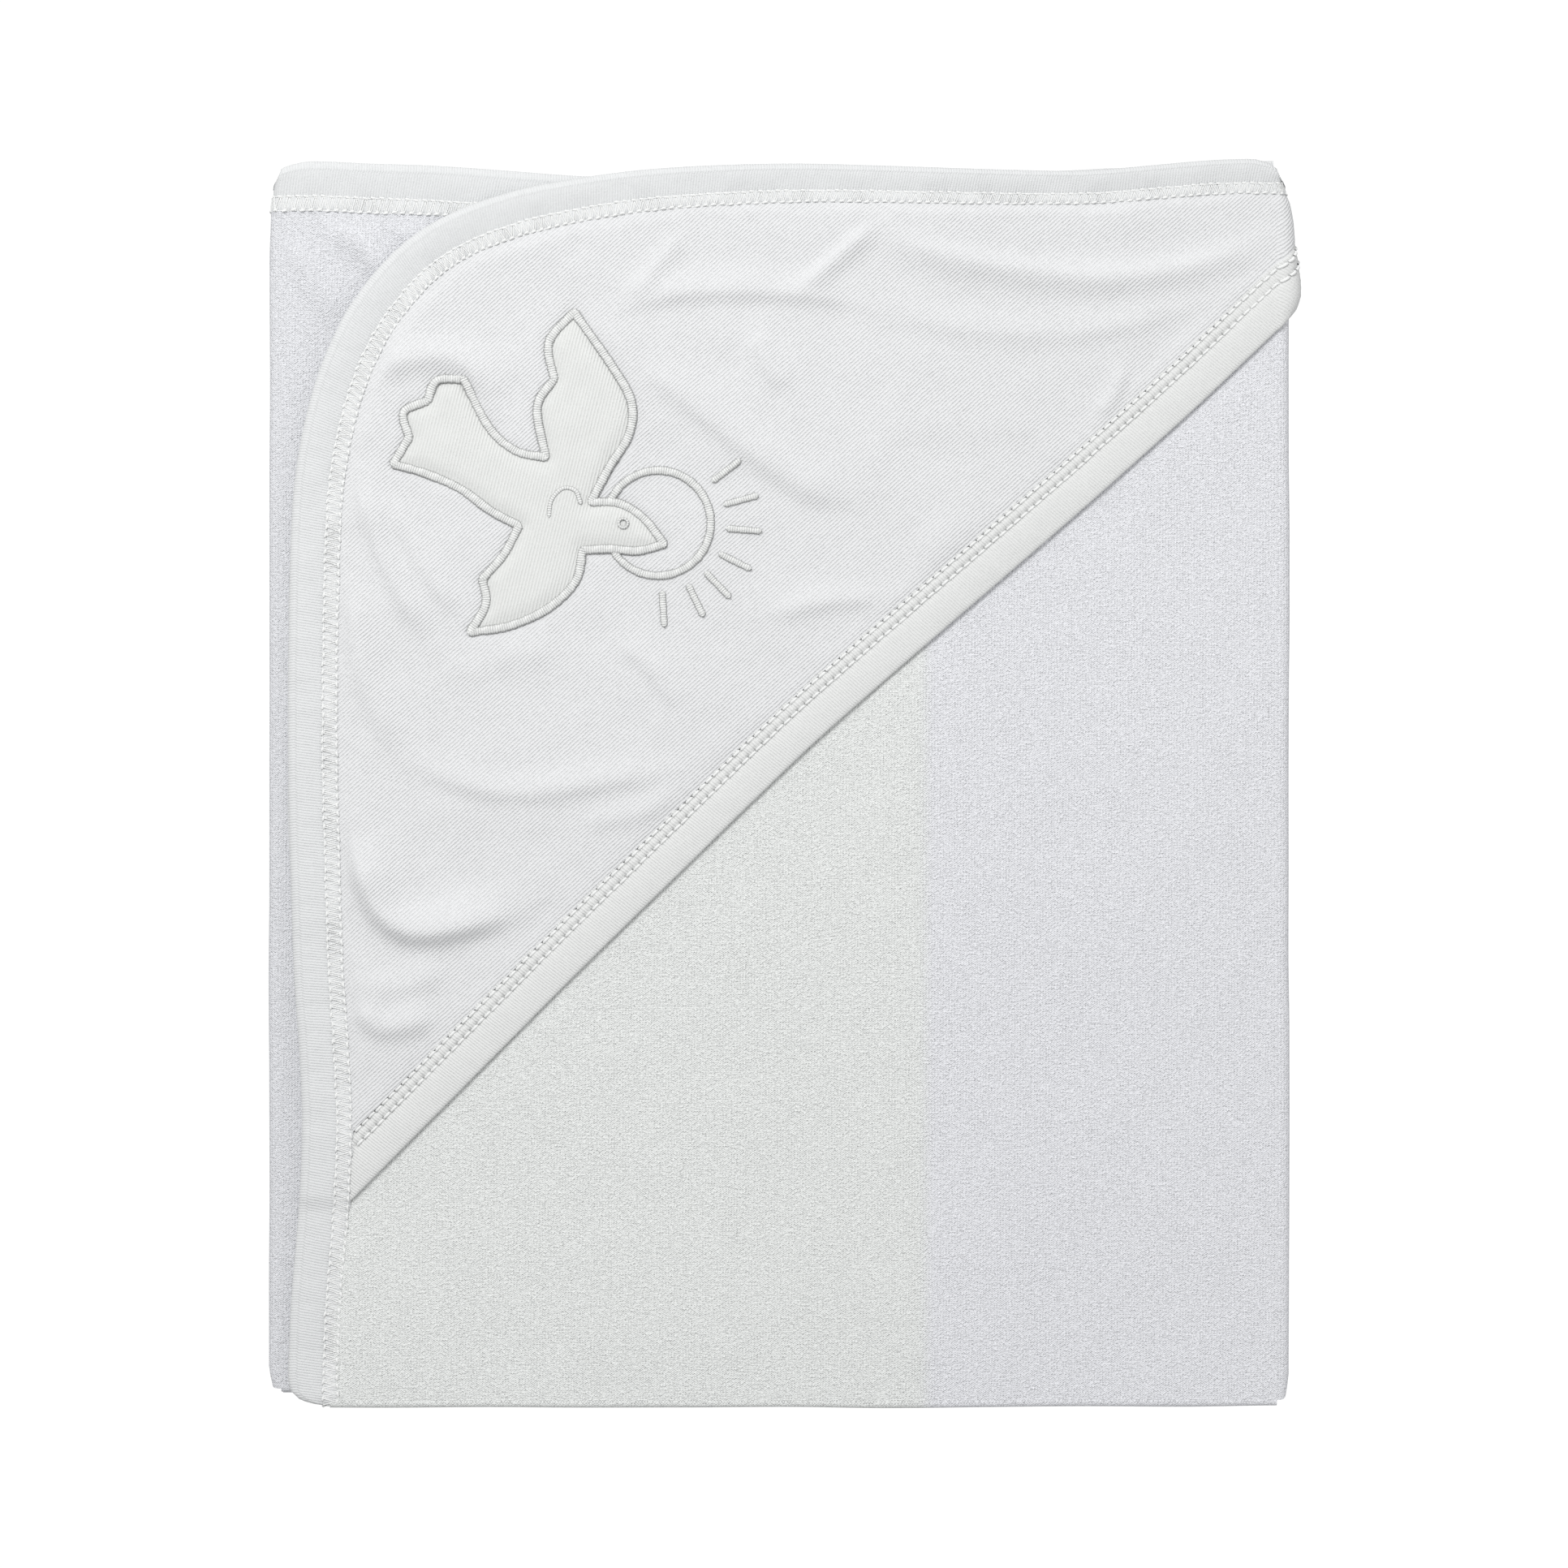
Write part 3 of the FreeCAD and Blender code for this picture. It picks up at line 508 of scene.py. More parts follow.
TERRY = cloth_material("terry", (0.782, 0.790, 0.824), "terry", bump=1.0, depth=0.45,
                       tone=0.32, warm=(0.786, 0.803, 0.794))
TERRY_UNDER = cloth_material("terry_under", (0.740, 0.749, 0.779), "terry", bump=1.0,
                             depth=0.45, tone=0.29)
JERSEY = cloth_material("jersey", (0.708, 0.715, 0.726), "jersey", bump=1.0, depth=0.3,
                        tone=0.17)
BINDING_TAPE = cloth_material("binding_tape", (0.668, 0.679, 0.686), "rib", bump=0.8,
                              depth=0.24, tone=0.14)
HOOD_TAPE = cloth_material("hood_tape", (0.688, 0.696, 0.692), "rib", bump=0.85,
                           depth=0.25, tone=0.15)
TWILL = cloth_material("twill", (0.686, 0.696, 0.686), "twill", bump=0.9, depth=0.3,
                       tone=0.20, rough=0.7, sheen=0.01)
THREAD = cloth_material("sewing_thread", (0.775, 0.782, 0.78), "plain", bump=0.3,
                        depth=0.1, tone=0.05, rough=0.6, sheen=0.03)
SATIN = cloth_material("embroidery_thread", (0.745, 0.755, 0.748), "satin", bump=0.9,
                       depth=0.18, tone=0.30, rough=0.5, sheen=0.03, specular=0.45)


# ------------------------------------------------------------------ motif outline
def closed_curve(points, corners, steps=8):
    """Closed smooth outline, sharp at corners, and the places of the corners in it."""
    out, at = [], []
    count = len(points)
    for i in range(count):
        p0, p1, p2, p3 = (np.array(points[k % count], float) for k in range(i - 1, i + 3))
        start = (p2 - p1) * 0.9 if i in corners else (p2 - p0) / 2
        end = (p2 - p1) * 0.9 if (i + 1) % count in corners else (p3 - p1) / 2
        if i in corners:
            at.append(len(out))
        for k in range(steps):
            u = k / steps
            out.append(p1 * (2 * u**3 - 3 * u**2 + 1) + start * (u**3 - 2 * u**2 + u)
                       + p2 * (3 * u**2 - 2 * u**3) + end * (u**3 - u**2))
    return np.array(out), at


# Outline of the bird, x and y, and the points of it that stay sharp.
BIRD = [
    (-36, 72), (-42, 79.6), (-49.5, 84.2), (-58, 84.6), (-52.5, 95), (-46.5, 105),
    (-45.8, 114.5), (-51, 124.5), (-63, 141.6), (-70.5, 132.5), (-69, 121.5), (-74, 113),
    (-71.5, 98), (-80.5, 100), (-88.5, 107), (-96, 121.4), (-104, 121), (-107, 115),
    (-114, 111.5), (-112.5, 104), (-117.2, 96), (-107.5, 93.2), (-97, 88.5), (-88, 82),
    (-79.5, 77.5), (-84, 69), (-90.5, 61.5), (-89.5, 54), (-94.2, 45.5), (-82, 47.6),
    (-70.5, 53), (-62.5, 61), (-60.5, 70.2), (-52, 70.6), (-44, 70)]
BIRD_CORNERS = {0, 3, 8, 10, 12, 15, 17, 19, 20, 24, 26, 28, 32}
BIRD_LINE, BIRD_AT = closed_curve(BIRD, BIRD_CORNERS)
BIRD_CLOSED = np.vstack([BIRD_LINE, BIRD_LINE[:1]])

# ------------------------------------------------------------------ shape of the cloth
# Soft folds: points of the line, height, width on its right, width on its left.
HOOD_FOLDS = [
    (((-130.5, -13.5), (-123, -36), (-112, -44.5), (-96, -43), (-78, -37.5)), 1.9, 3.4, 8.0),
    (((-130, -65.5), (-120, -73), (-104, -70)), 1.0, 3.5, 6.0),
    (((-130, -60), (-114, -60.5), (-100, -55)), 0.5, 4.0, 5.0),
    (((-128, 93), (-119, 66), (-106, 42)), 0.9, 3.2, 4.2),
    (((-121, 88), (-106, 62), (-96, 50)), 0.6, 3.0, 4.0),
    (((-131, 60), (-127, 35), (-116, 8)), 0.7, 3.5, 5.0),
    (((-116, 10), (-98, 0.5), (-75, -2.5), (-32, 4.5)), 0.6, 3.0, 5.0),
    (((-62, -12), (-44, -9), (-30, -4)), 0.45, 3.0, 4.0),
    (((-126, 124), (-103, 128.5), (-92, 122.5), (-88, 114)), 0.9, 4.0, 5.0),
    (((-50, 143), (-28, 147.5), (4, 147), (27, 143)), 0.7, 2.6, 5.5),
    (((-47, 145), (-36, 158), (-30, 166)), 0.5, 3.0, 3.0),
    (((27, 168), (16, 158), (4, 148.5)), 0.8, 2.0, 3.5),
    (((28, 165), (45, 159.5), (74, 154), (103, 152.5), (132, 158), (147, 165)), 1.0, 5.0, 3.6),
    (((27, 142), (62, 136), (97, 137), (132, 147)), 0.45, 3.5, 5.0),
    (((-46, 128), (-30, 116), (-10, 100), (8, 88), (24, 86)), 0.8, 3.5, 8.0),
    (((-10, 136), (-4, 124), (0, 117)), 0.5, 2.4, 4.0),
    (((94, 110), (100, 117), (102, 126)), 0.6, 1.8, 3.0),
    (((-50, 44), (-38, 32), (-32, 21)), 0.5, 2.6, 4.5),
    (((-6, 50), (12, 54.5), (30, 55.5)), 0.5, 2.6, 4.0),
    (((-100, 30), (-84, 38), (-66, 40)), 0.35, 4.0, 5.0)]
MIDDLE_FOLDS = [
    (((-141, 174), (-133, 167.5), (-124, 158), (-117, 149)), 1.5, 3.6, 4.5),
    (((-127, 176), (-118, 170.5), (-108, 163), (-102, 157)), 1.2, 3.2, 4.0),
    (((-150, 163), (-142, 152), (-135, 139)), 0.8, 3.6, 4.5)]
TOP_FOLDS = [
    (((-126, -108), (-128, -135), (-129.5, -163)), 0.40, 1.5, 1.8),
    (((-122, -108), (-124.5, -132), (-126.5, -155)), 0.28, 1.5, 1.8)]
EDGE_FINE, _ = smooth_path(TOP_EDGE, 2.0)
HEM_POINTS = np.vstack([HEM, HEM[-1] + MOUTH_ALONG * 12.0, HEM[-1] + MOUTH_ALONG * 26.0])
HEM_FINE, _ = smooth_path(HEM_POINTS, 2.0)


def edge_scale(x, y):
    """The bound edge rolls over towards the upper right, so it covers less width there."""
    scale = np.interp(x, [-124, -100, -60, -10, 25, 85, 120, 150],
                      [1.0, 0.95, 0.87, 0.80, 0.75, 0.67, 0.69, 0.71])
    return 1 + (scale - 1) * smoothstep(y, 60, 110)


def corner_dip(x):
    """How far the outer edge of the tape falls back at the two fold corners."""
    return np.interp(x, [-164, -161, -159, -157.25, -155.5, -153.5, -151.5, -148.3, -146,
                         -143, 139, 142, 146, 148.4, 150.4, 152.4, 155.6, 158.8, 162.9],
                     [0.5, 3.5, 6.0, 7.5, 6.0, 3.5, 2.0, 0.9, 0.4,
                      0, 0, 0.1, 1.2, 3.0, 5.0, 6.8, 7.8, 6.0, 2.5])


def soft_folds(x, y, table):
    z = np.zeros(np.shape(x))
    for line, height, right_width, left_width in table:
        path, _ = smooth_path(line, 3.0)
        distance, side, place = near(path, x, y)
        width = np.where(side > 0, right_width, left_width)
        ends = smoothstep(place, 0.0, 0.25) * (1 - smoothstep(place, 0.75, 1.0))
        z += height * bell(distance, 0, width) * (0.15 + 0.85 * ends)
    return z


def fade_right(x, rest=0.0):
    return 1 - (1 - rest) * smoothstep(x, XR - 14, XR)


def top_face(x, y):
    """Upper face of the top layer's cloth."""
    raised = smoothstep(x, 25.5, 29.5) * (1 - smoothstep(x, 41.0, 44.0)) * 0.45
    distance, side, _ = near(HEM_FINE, x, y)
    bare = smoothstep(distance * side, -2.0, 7.0)
    soft = 0.40 * noise(x, y, 40, 3) + 0.20 * noise(x, y, 14, 4) + soft_folds(x, y, TOP_FOLDS)
    relief = (raised + soft) * bare - 0.25 * (1 - bare)
    return TOWEL_TOP - drop(x) + relief * fade_right(x)


def flat_face(layer, seed, x, y):
    """Upper face of a lower layer, slightly uneven."""
    calm = smoothstep(x, XL, XL + 10) * fade_right(x)
    return (LAYER_Z[layer] + PLY - layer_drop(layer, x)
            + calm * 0.25 * noise(x, y, 26, seed))


def middle_face(x, y):
    """Upper face of the middle layer, with soft folds beside the hood corner."""
    free = smoothstep(x, XL, XL + 5)
    calm = smoothstep(y, 105, 125) * (1 - smoothstep(y, 163, 171))
    return (flat_face("middle", 21, x, y) + 2.1 * soft_folds(x, y, MIDDLE_FOLDS) * free * calm
            - 0.15 * smoothstep(y, 168, 171))


def bottom_face(x, y):
    return flat_face("bottom", 22, x, y)


def hood_face(x, y):
    """Upper face of the hood, away from its edges."""
    distance, _, _ = near(EDGE_FINE, x, y)
    distance = distance / edge_scale(x, y)
    hem_distance, _, _ = near(HEM_FINE, x, y)
    puff = 0.75 * (smoothstep(distance, BINDING_WIDTH, BINDING_WIDTH + 5)
                   - 0.5 * smoothstep(distance, BINDING_WIDTH + 6, BINDING_WIDTH + 24))
    calm = (smoothstep(distance, BINDING_WIDTH + 0.5, BINDING_WIDTH + 6.0)
            * smoothstep(hem_distance, 13.5, 20.0))
    relief = (2.15 * soft_folds(x, y, HOOD_FOLDS) + 0.58 * noise(x, y, 24, 5)
              + 0.26 * noise(x, y, 9, 6))
    # the bird patch is stiff, and its outline pulls the cloth down
    stiff = np.where(inside(BIRD_LINE, np.column_stack([x, y])), 0.35, 1.0)
    bird_distance, _, _ = near(BIRD_CLOSED, x, y)
    relief = relief * stiff - 0.60 * bell(bird_distance, 0, 2.1)
    # small gathers that run off the seam
    gathers = (noise(x + y * 0.35, y - x * 0.35, 5.0, 7)
               * bell(distance, BINDING_WIDTH + 2.5, 3.5))
    return 13.2 - drop(x) + (puff + calm * relief + 0.22 * gathers) * fade_right(x, 0.45)


def bend_round(fold, points):
    """Wraps the part of a flat surface beyond a fold round it."""
    x, y, z = points.T
    past = fold.side * (x - fold.x)
    height = z - fold.z
    turning = (past > 0) & (past <= fold.arc)
    angle = np.clip(past / fold.arc, 0, 1) * np.pi
    wide = np.interp(y, *fold.crest) / fold.radius
    x = np.where(turning, fold.x + fold.side * height * wide * np.abs(np.sin(angle)) ** 0.8, x)
    z = np.where(turning, fold.z + height * np.sign(np.cos(angle))
                 * np.abs(np.cos(angle)) ** 0.8, z)
    under = past > fold.arc
    x = np.where(under, fold.x - fold.side * (past - fold.arc), x)
    z = np.where(under, fold.z - height, z)
    return np.column_stack([x, y, z])


# ------------------------------------------------------------------ layers
def make_layer(layer, edge, fold_y, face, spacing, upper_mat, start=XL, end=XR):
    """Two plies of cloth as one soft slab with a rounded half fold at the lower edge.

    start and end are the x where it begins and ends; a side away from a fold is free.
    """
    free_left, free_right = start > XL, end < XR
    z0 = LAYER_Z[layer]
    path, _ = smooth_path(edge, 3.0)
    inner = offset_path(path, 12.5)
    inner = inner[(inner[:, 0] > XL + 1) & (inner[:, 0] < XR - 1) & (inner[:, 1] > fold_y + 2)]
    right = end - 12.5 if free_right else XR
    corners = [(right, fold_y)]
    if free_right:
        inner[:, 0] = np.minimum(inner[:, 0], right)
    else:
        inner = np.vstack([inner, [XR, inner[-1, 1]]])
    if free_left:
        inner = np.vstack([[start, fold_y], inner])
    else:
        inner = np.vstack([[XL, inner[0, 1]], inner])
        corners.append((XL, fold_y))
    inner[:, 0] = np.clip(inner[:, 0], XL, XR)
    ring = closed_steps([tuple(p) for p in inner] + corners, spacing)
    plan, faces = fill(thin_out(ring, 0.3), spacing)
    x, y = plan.T
    surfaces = Surfaces()
    surfaces.add(np.column_stack([plan, face(x, y)]), faces, plan)
    under_z = z0 - layer_drop(layer, x) + 0.14 * smoothstep(y, fold_y + 1, fold_y + 8)
    surfaces.add(np.column_stack([plan, under_z]), [f[::-1] for f in faces], plan + 7.3, 1)

    # lower fold
    fold_end = end - 1.0 if free_right else XR
    xs = np.arange(start, fold_end + 0.01, 2.0)
    xs[-1] = fold_end
    angle = np.radians(np.linspace(90, 270, 17))
    fall = layer_drop(layer, xs)[:, None]
    wave = 0.35 * noise(xs, xs * 0, 30, 40 + int(z0))[:, None]
    radius = PLY / 2
    out = np.sign(np.cos(angle)) * np.abs(np.cos(angle)) ** 0.75
    up = np.sign(np.sin(angle)) * np.abs(np.sin(angle)) ** 0.75
    relief = face(xs, np.full(len(xs), fold_y))[:, None] - (z0 + PLY - fall)
    z = z0 + radius - fall + radius * up + relief * np.clip(np.sin(angle), 0, 1)
    points = surfaces.add_grid(xs[:, None], fold_y + (radius + wave * 0.7) * out, z,
                               xs[:, None], fold_y - (angle - angle[0]) * radius)
    # close both ends of the fold with a fan
    hub = len(angle)
    for k in (0, -1):
        rim = points[k]
        fan = [[hub, i, i + 1] if k == 0 else [hub, i + 1, i] for i in range(hub - 1)]
        verts = np.vstack([rim, [[xs[k], fold_y, 0.5 * (rim[0, 2] + rim[-1, 2])]]])
        surfaces.add(verts, fan, verts[:, 1:])
    name = layer + "_layer"
    ob = surfaces.build(name + "_cloth_v", [upper_mat, TERRY_UNDER])
    register(ob, "terry", name + "_cloth", ride=name)


make_layer("top", TOP_EDGE, -185.5, top_face, 2.2, TERRY, start=-136.5)
make_layer("middle", MIDDLE_EDGE, -181.5, middle_face, 2.6, TERRY_UNDER)
make_layer("bottom", BOTTOM_EDGE, -182.0, bottom_face, 3.2, TERRY_UNDER, end=BOTTOM_RIGHT)


# ------------------------------------------------------------------ bindings
# Distances from the edge of the tape's profile: upper face, outer round (angles), lower face.
TAPE_UPPER = np.array([15.6, 15.0, 14.6, 14.1, 13.4, 12.8, 12.2, 11.6, 11.1, 10.7, 10.3, 9.8,
                       9.0, 8.0, 6.8, 5.6, 4.6, 3.8, 3.0])
TAPE_ROUND = np.radians([78, 62, 45, 30, 15, 0, -20, -45, -70])
TAPE_LOWER = np.array([3.0, 5.0, 9.0, 12.0, 15.6])
TAPE_ACROSS = np.concatenate([TAPE_UPPER, 2.9 - 2.9 * np.cos(TAPE_ROUND), TAPE_LOWER])
TAPE_V = np.concatenate([TAPE_UPPER, 2.6 - TAPE_ROUND * 1.8, -TAPE_LOWER - 2])


def close_low_end(y, z):
    """Closes the top binding where it ends at the lower fold."""
    closed = np.clip((LOW_END_Y - y) / 3.0, 0, 1)
    middle = LAYER_Z["top"] + PLY / 2
    return middle + (z - middle) * np.sqrt(1 - closed**2)


def tape_surfaces(layer, points, z0, z1, step, seed, wave, hood):
    """Folded tape along an edge, with its coverstitch; it fills z0 to z1."""
    path, along = smooth_path(points, step)
    normal = inward(path)
    if wave:
        path = path + normal * (wave * noise(along, along * 0, 22, seed))[:, None]
    # square to the fold where the tape passes a fold
    for fold_x in (XL, XR):
        weight = (bell(path[:, 0], fold_x, 7.0) * (path[:, 1] > 150))[:, None]
        normal = normal * (1 - weight) + np.array([0, -1.0]) * weight
    normal /= np.linalg.norm(normal, axis=1)[:, None]
    top = np.full(len(along), z1)
    scale = np.ones(len(along))
    if hood:
        # the tape also holds the edge of the hood, from its left end on
        top = top + 1.2 * np.where(path[:, 0] > -100, 1.0,
                                   smoothstep(path[:, 1], -128.5, -122.5))
        scale = edge_scale(path[:, 0], path[:, 1])

    u, rim = along[:, None], top[:, None]
    dt = TAPE_UPPER
    puff = np.where(dt < 10.4, 0.80 * np.sin(np.pi * np.clip(dt / 10.4, 0, 1) ** 0.65), 0)
    band = 0.30 * smoothstep(dt, 10.4, 11.4) * (1 - smoothstep(dt, 14.2, 15.2))
    dips = sum(0.22 * bell(dt, row, 0.8) for row in COVER_ROWS)
    pucker = 0.6 + 0.4 * np.cos(2 * np.pi * u / COVER_PITCH)
    swell = (1 + 0.22 * noise(u, 0 * u, 17.0, seed + 33)
             + 0.12 * noise(u, 0 * u, 5.0, seed + 34))
    upper = rim + puff * swell + band - dips * pucker + 0.16 * noise(u, dt, 5.5, seed + 30)
    upper = upper - 0.45 * smoothstep(dt, 15.0, 15.6)
    upper = upper + 0.07 * noise(u * 2.2, dt * 0.3, 1.6, seed + 31)
    half = (rim - z0) / 2
    sine = np.sin(TAPE_ROUND)
    outer = z0 + half + half * sine + np.clip(sine, 0, None) * (upper[:, -1:] - rim)
    lower = np.full((len(along), len(TAPE_LOWER)), z0)
    z = np.concatenate([upper, outer, lower], 1)
    across = TAPE_ACROSS * scale[:, None]
    x, y = sweep(path, normal, across)
    starts_low = path[0, 1] < -150
    if hood or not starts_low:
        y = y - corner_dip(x) * (1 - smoothstep(across, 0.3, 7.4)) * (y > 150)
    if starts_low:
        pull = np.interp(y, [-187.2, -186.6, -186.2, -185, -182.4, -178.6],
                         [12.5, 9.0, 6.5, 3.4, 0.7, 0])
        x = x + pull * (1 - smoothstep(TAPE_ACROSS, 0.3, 12.0)) * (x < -100)
        z = close_low_end(y, z)
    surfaces = Surfaces()
    surfaces.add_grid(x, y, z - layer_drop(layer, x), u, TAPE_V, flip=True)

    def on_tape(u, across, lift):
        px, py, nx, ny, wide, z = (np.interp(u, along, values)
                                   for values in (*path.T, *normal.T, scale, top))
        x, y, z = px + nx * across * wide, py + ny * across * wide, z + lift
        if starts_low:
            z = close_low_end(y, z)
        return np.stack([x, y, z - layer_drop(layer, x)], -1)

    jitter = np.random.default_rng(seed + 90)
    t = np.linspace(0, 1, 6)
    arch = np.sin(np.pi * t)
    threads, beads = [], []
    pitch = COVER_PITCH
    inner, outer = COVER_ROWS
    for k in range(int(along[-1] / pitch)):
        start = k * pitch + jitter.uniform(-0.15, 0.15)
        shift_inner, shift_outer = jitter.uniform(-0.22, 0.22, 2)
        for row in COVER_ROWS:
            threads.append(on_tape(start + t * pitch, row, -0.18 + 0.22 * arch))
        lift = 0.14 + 0.14 * arch
        for off in (0.0, 0.55):
            threads.append(on_tape(start + off + (pitch * 0.5) * t, 10.5 + 4.6 * t,
                                   lift + off * 0.2))
            threads.append(on_tape(start + off + pitch * (0.5 + 0.5 * t), 15.1 - 4.6 * t,
                                   lift + 0.1 - off * 0.2))
        bead_lift = 0.12 + 0.22 * arch
        beads.append(on_tape(start + (t - 0.5) * 1.15,
                             inner + shift_inner + 0.25 * (t - 0.5), bead_lift))
        beads.append(on_tape(start + pitch / 2 + (t - 0.5) * 1.15,
                             outer - 0.1 + shift_outer - 0.25 * (t - 0.5), bead_lift))
    surfaces.add(*tubes(threads, 0.19, 5), 1)
    surfaces.add(*tubes(beads, 0.36, 6), 1)
    return surfaces


def make_binding(layer, face, upper, points, step, seed, wave=0.0, hood=False, fold=None):
    """A bound edge on the upper or lower half of a layer; fold is the one it goes round."""
    name = f"{layer}_binding_{face}"
    z0 = LAYER_Z[layer] + (PLY - TAPE_PLY if upper else 0)
    z1 = z0 + TAPE_PLY
    turn_name = f"{fold.name}_fold_binding_outer" if fold else ""

    def pick(centres):
        x = centres[:, 0]
        names = np.full(len(x), name + "_v", dtype=object)
        names[(x > XR) | (x < XL)] = ""
        if fold:
            past = fold.side * (x - fold.x)
            names[(past > 0) & (past < fold.arc)] = turn_name + "_v"
        return names

    def bend(flat):
        # a tape that stops at a fold is pressed flat there, so that its end is closed
        x, y, z = flat.T
        closed = np.zeros(len(flat))
        for side in (RIGHT, LEFT):
            if side is not fold:
                ending = np.clip((side.side * (x - side.x) + 2.2) / 2.2, 0, 1)
                closed = np.maximum(closed, ending)
        middle = 0.5 * (z0 + z1) - layer_drop(layer, x)
        points = np.column_stack([x, y, middle + (z - middle) * np.sqrt(1 - closed**2)])
        return bend_round(fold, points) if fold else points

    surfaces = tape_surfaces(layer, points, z0, z1, step, seed, wave, hood)
    made = surfaces.split([BINDING_TAPE, THREAD], pick, bend)
    register(made[name + "_v"], "binding", name, f"{layer}_coverstitch_{face}",
             ride=layer + "_layer")
    if fold:
        turn = made[turn_name + "_v"]
        register(turn, "binding", turn_name)
        blend_fold(turn)


make_binding("top", "front", True, TOP_EDGE, step=0.8, seed=2, hood=True,
             fold=RIGHT)
make_binding("top", "back", False, TOP_EDGE, step=1.6, seed=5, wave=0.7)
make_binding("middle", "back", True, MIDDLE_EDGE, step=1.0, seed=8, wave=0.3, fold=LEFT)
make_binding("middle", "front", False, MIDDLE_EDGE, step=1.8, seed=12, wave=0.8)
make_binding("bottom", "front", True, BOTTOM_EDGE, step=1.8, seed=15, wave=0.5)
make_binding("bottom", "back", False, BOTTOM_EDGE, step=1.8, seed=18, wave=0.7)


# ------------------------------------------------------------------ folds
def value_at(value, at):
    return value(at) if callable(value) else value


def make_fold(fold, part, mat, slot, y0, y1, width=1.85, height=0.6, thick=0.5, rows=120):
    """Cloth turning round a lengthwise fold.

    width may be a function of y, and y0 a function of the height from -1 to 1.
    """
    angle = np.radians(np.linspace(-90, 90, 19))
    out, up = np.abs(np.cos(angle)), np.sin(angle)
    out[0] = out[-1] = 0.0
    low = value_at(y0, up)
    y = low + (y1 - low) * np.linspace(0, 1, rows)[:, None] + 0 * up
    surfaces = Surfaces()
    for inset, flip in ((0.0, fold.side > 0), (thick, fold.side < 0)):
        x = fold.x + fold.side * (value_at(width, y) - inset) * out ** 0.72 + 0 * y
        z = fold.z + (height - inset) * (np.sign(up) * np.abs(up) ** 0.72)
        steps = np.hypot(np.diff(x[rows // 2]), np.diff(z))
        run = np.concatenate([[0], np.cumsum(steps)])
        uv = (fold.x + fold.side * (run[-1] - run), y)
        if slot != "terry":
            uv = uv[::-1]
        surfaces.add_grid(x, y, z, *uv, flip=flip)
    # close the two ends
    insets = np.array([[0.0], [thick]])
    for k in (0, rows - 1):
        x = fold.x + fold.side * (value_at(width, y[k]) - insets) * out
        z = fold.z + (height - insets) * up
        surfaces.add_grid(x, y[k], z, x, z, flip=(k == 0))
    name = f"{fold.name}_fold_{part}"
    ob = surfaces.build(name + "_v", [mat])
    register(ob, slot, name + "_ply" if slot == "terry" else name)
    blend_fold(ob)


def right_width(y):
    return 4.0 - 0.9 * (1 - smoothstep(y, -184.6, -178)) + 0.18 * noise(y, 0 * y, 25, 61)


def left_width(y):
    return (4.0 - 1.2 * (1 - smoothstep(y, -182.5, -176)) + 0.25 * noise(y, 0 * y, 30, 62)
            - 0.5 * smoothstep(y, 158, 172))


make_fold(RIGHT, "outer", TERRY, "terry", lambda up: -183.5 - 2.0 * np.clip(up, 0, 1), 171.5,
          width=right_width, height=PLY, thick=1.9)
make_fold(RIGHT, "inner", TERRY_UNDER, "terry", -184.0, 171.5)
make_fold(RIGHT, "binding_inner", BINDING_TAPE, "binding", 171.4, 177.6, rows=12)
make_fold(LEFT, "outer", TERRY_UNDER, "terry", lambda up: -181.5 - 0.7 * up, 173.6,
          width=left_width, height=PLY, thick=1.9)
make_fold(LEFT, "inner", TERRY_UNDER, "terry", -181.5, 170.4)
make_fold(LEFT, "binding_inner", BINDING_TAPE, "binding", 170.3, 178.4, rows=12)


# ------------------------------------------------------------------ hood
def from_mouth(points):
    """Places along the chord of the opening and into the hood."""
    offset = points[..., :2] - MOUTH_START
    return offset @ MOUTH_ALONG, offset @ MOUTH_IN


def at_mouth(along, depth):
    return MOUTH_START + MOUTH_ALONG * along + MOUTH_IN * depth


def hood_plan():
    """Triangles of the flat hood, cut along the lip and the right fold."""
    hem = offset_path(np.vstack([HEM_FINE[0] - 8 * MOUTH_ALONG, HEM_FINE]), -14.2)
    edge = EDGE_FINE + inward(EDGE_FINE) * (14.0 * edge_scale(*EDGE_FINE.T))[:, None]
    distance, side, _ = near(EDGE_FINE, hem[:, 0], hem[:, 1])
    corner_y = np.interp(HOOD_REACH, hem[:, 0], hem[:, 1])
    lower = hem[(distance * side > 14.0) & (hem[:, 0] < HOOD_REACH - 1.0)]
    _, side, _ = near(hem, edge[:, 0], edge[:, 1])
    upper = edge[(side < 0) & (edge[:, 1] > -120.0) & (edge[:, 0] < HOOD_REACH - 0.5)]
    rise = np.linspace(corner_y, upper[-1][1], 24)
    right = np.column_stack([np.full(24, HOOD_REACH), rise])
    outline = thin_out(np.vstack([lower, right, upper[::-1]]), 0.5)
    cuts = [[at_mouth(along, depth) for depth in np.linspace(10, LIP_DEPTH, 20)]
            for along in (LIP_START, LIP_MIDDLE, LIP_END)]
    cuts.append([at_mouth(along, LIP_DEPTH) for along in np.linspace(LIP_START, LIP_END, 120)])
    fold_y = np.interp(XR, hem[:, 0], hem[:, 1])
    cuts.append([np.array([XR, y]) for y in np.linspace(fold_y, 176.0, 30)])
    return fill(outline, 1.35, cuts)


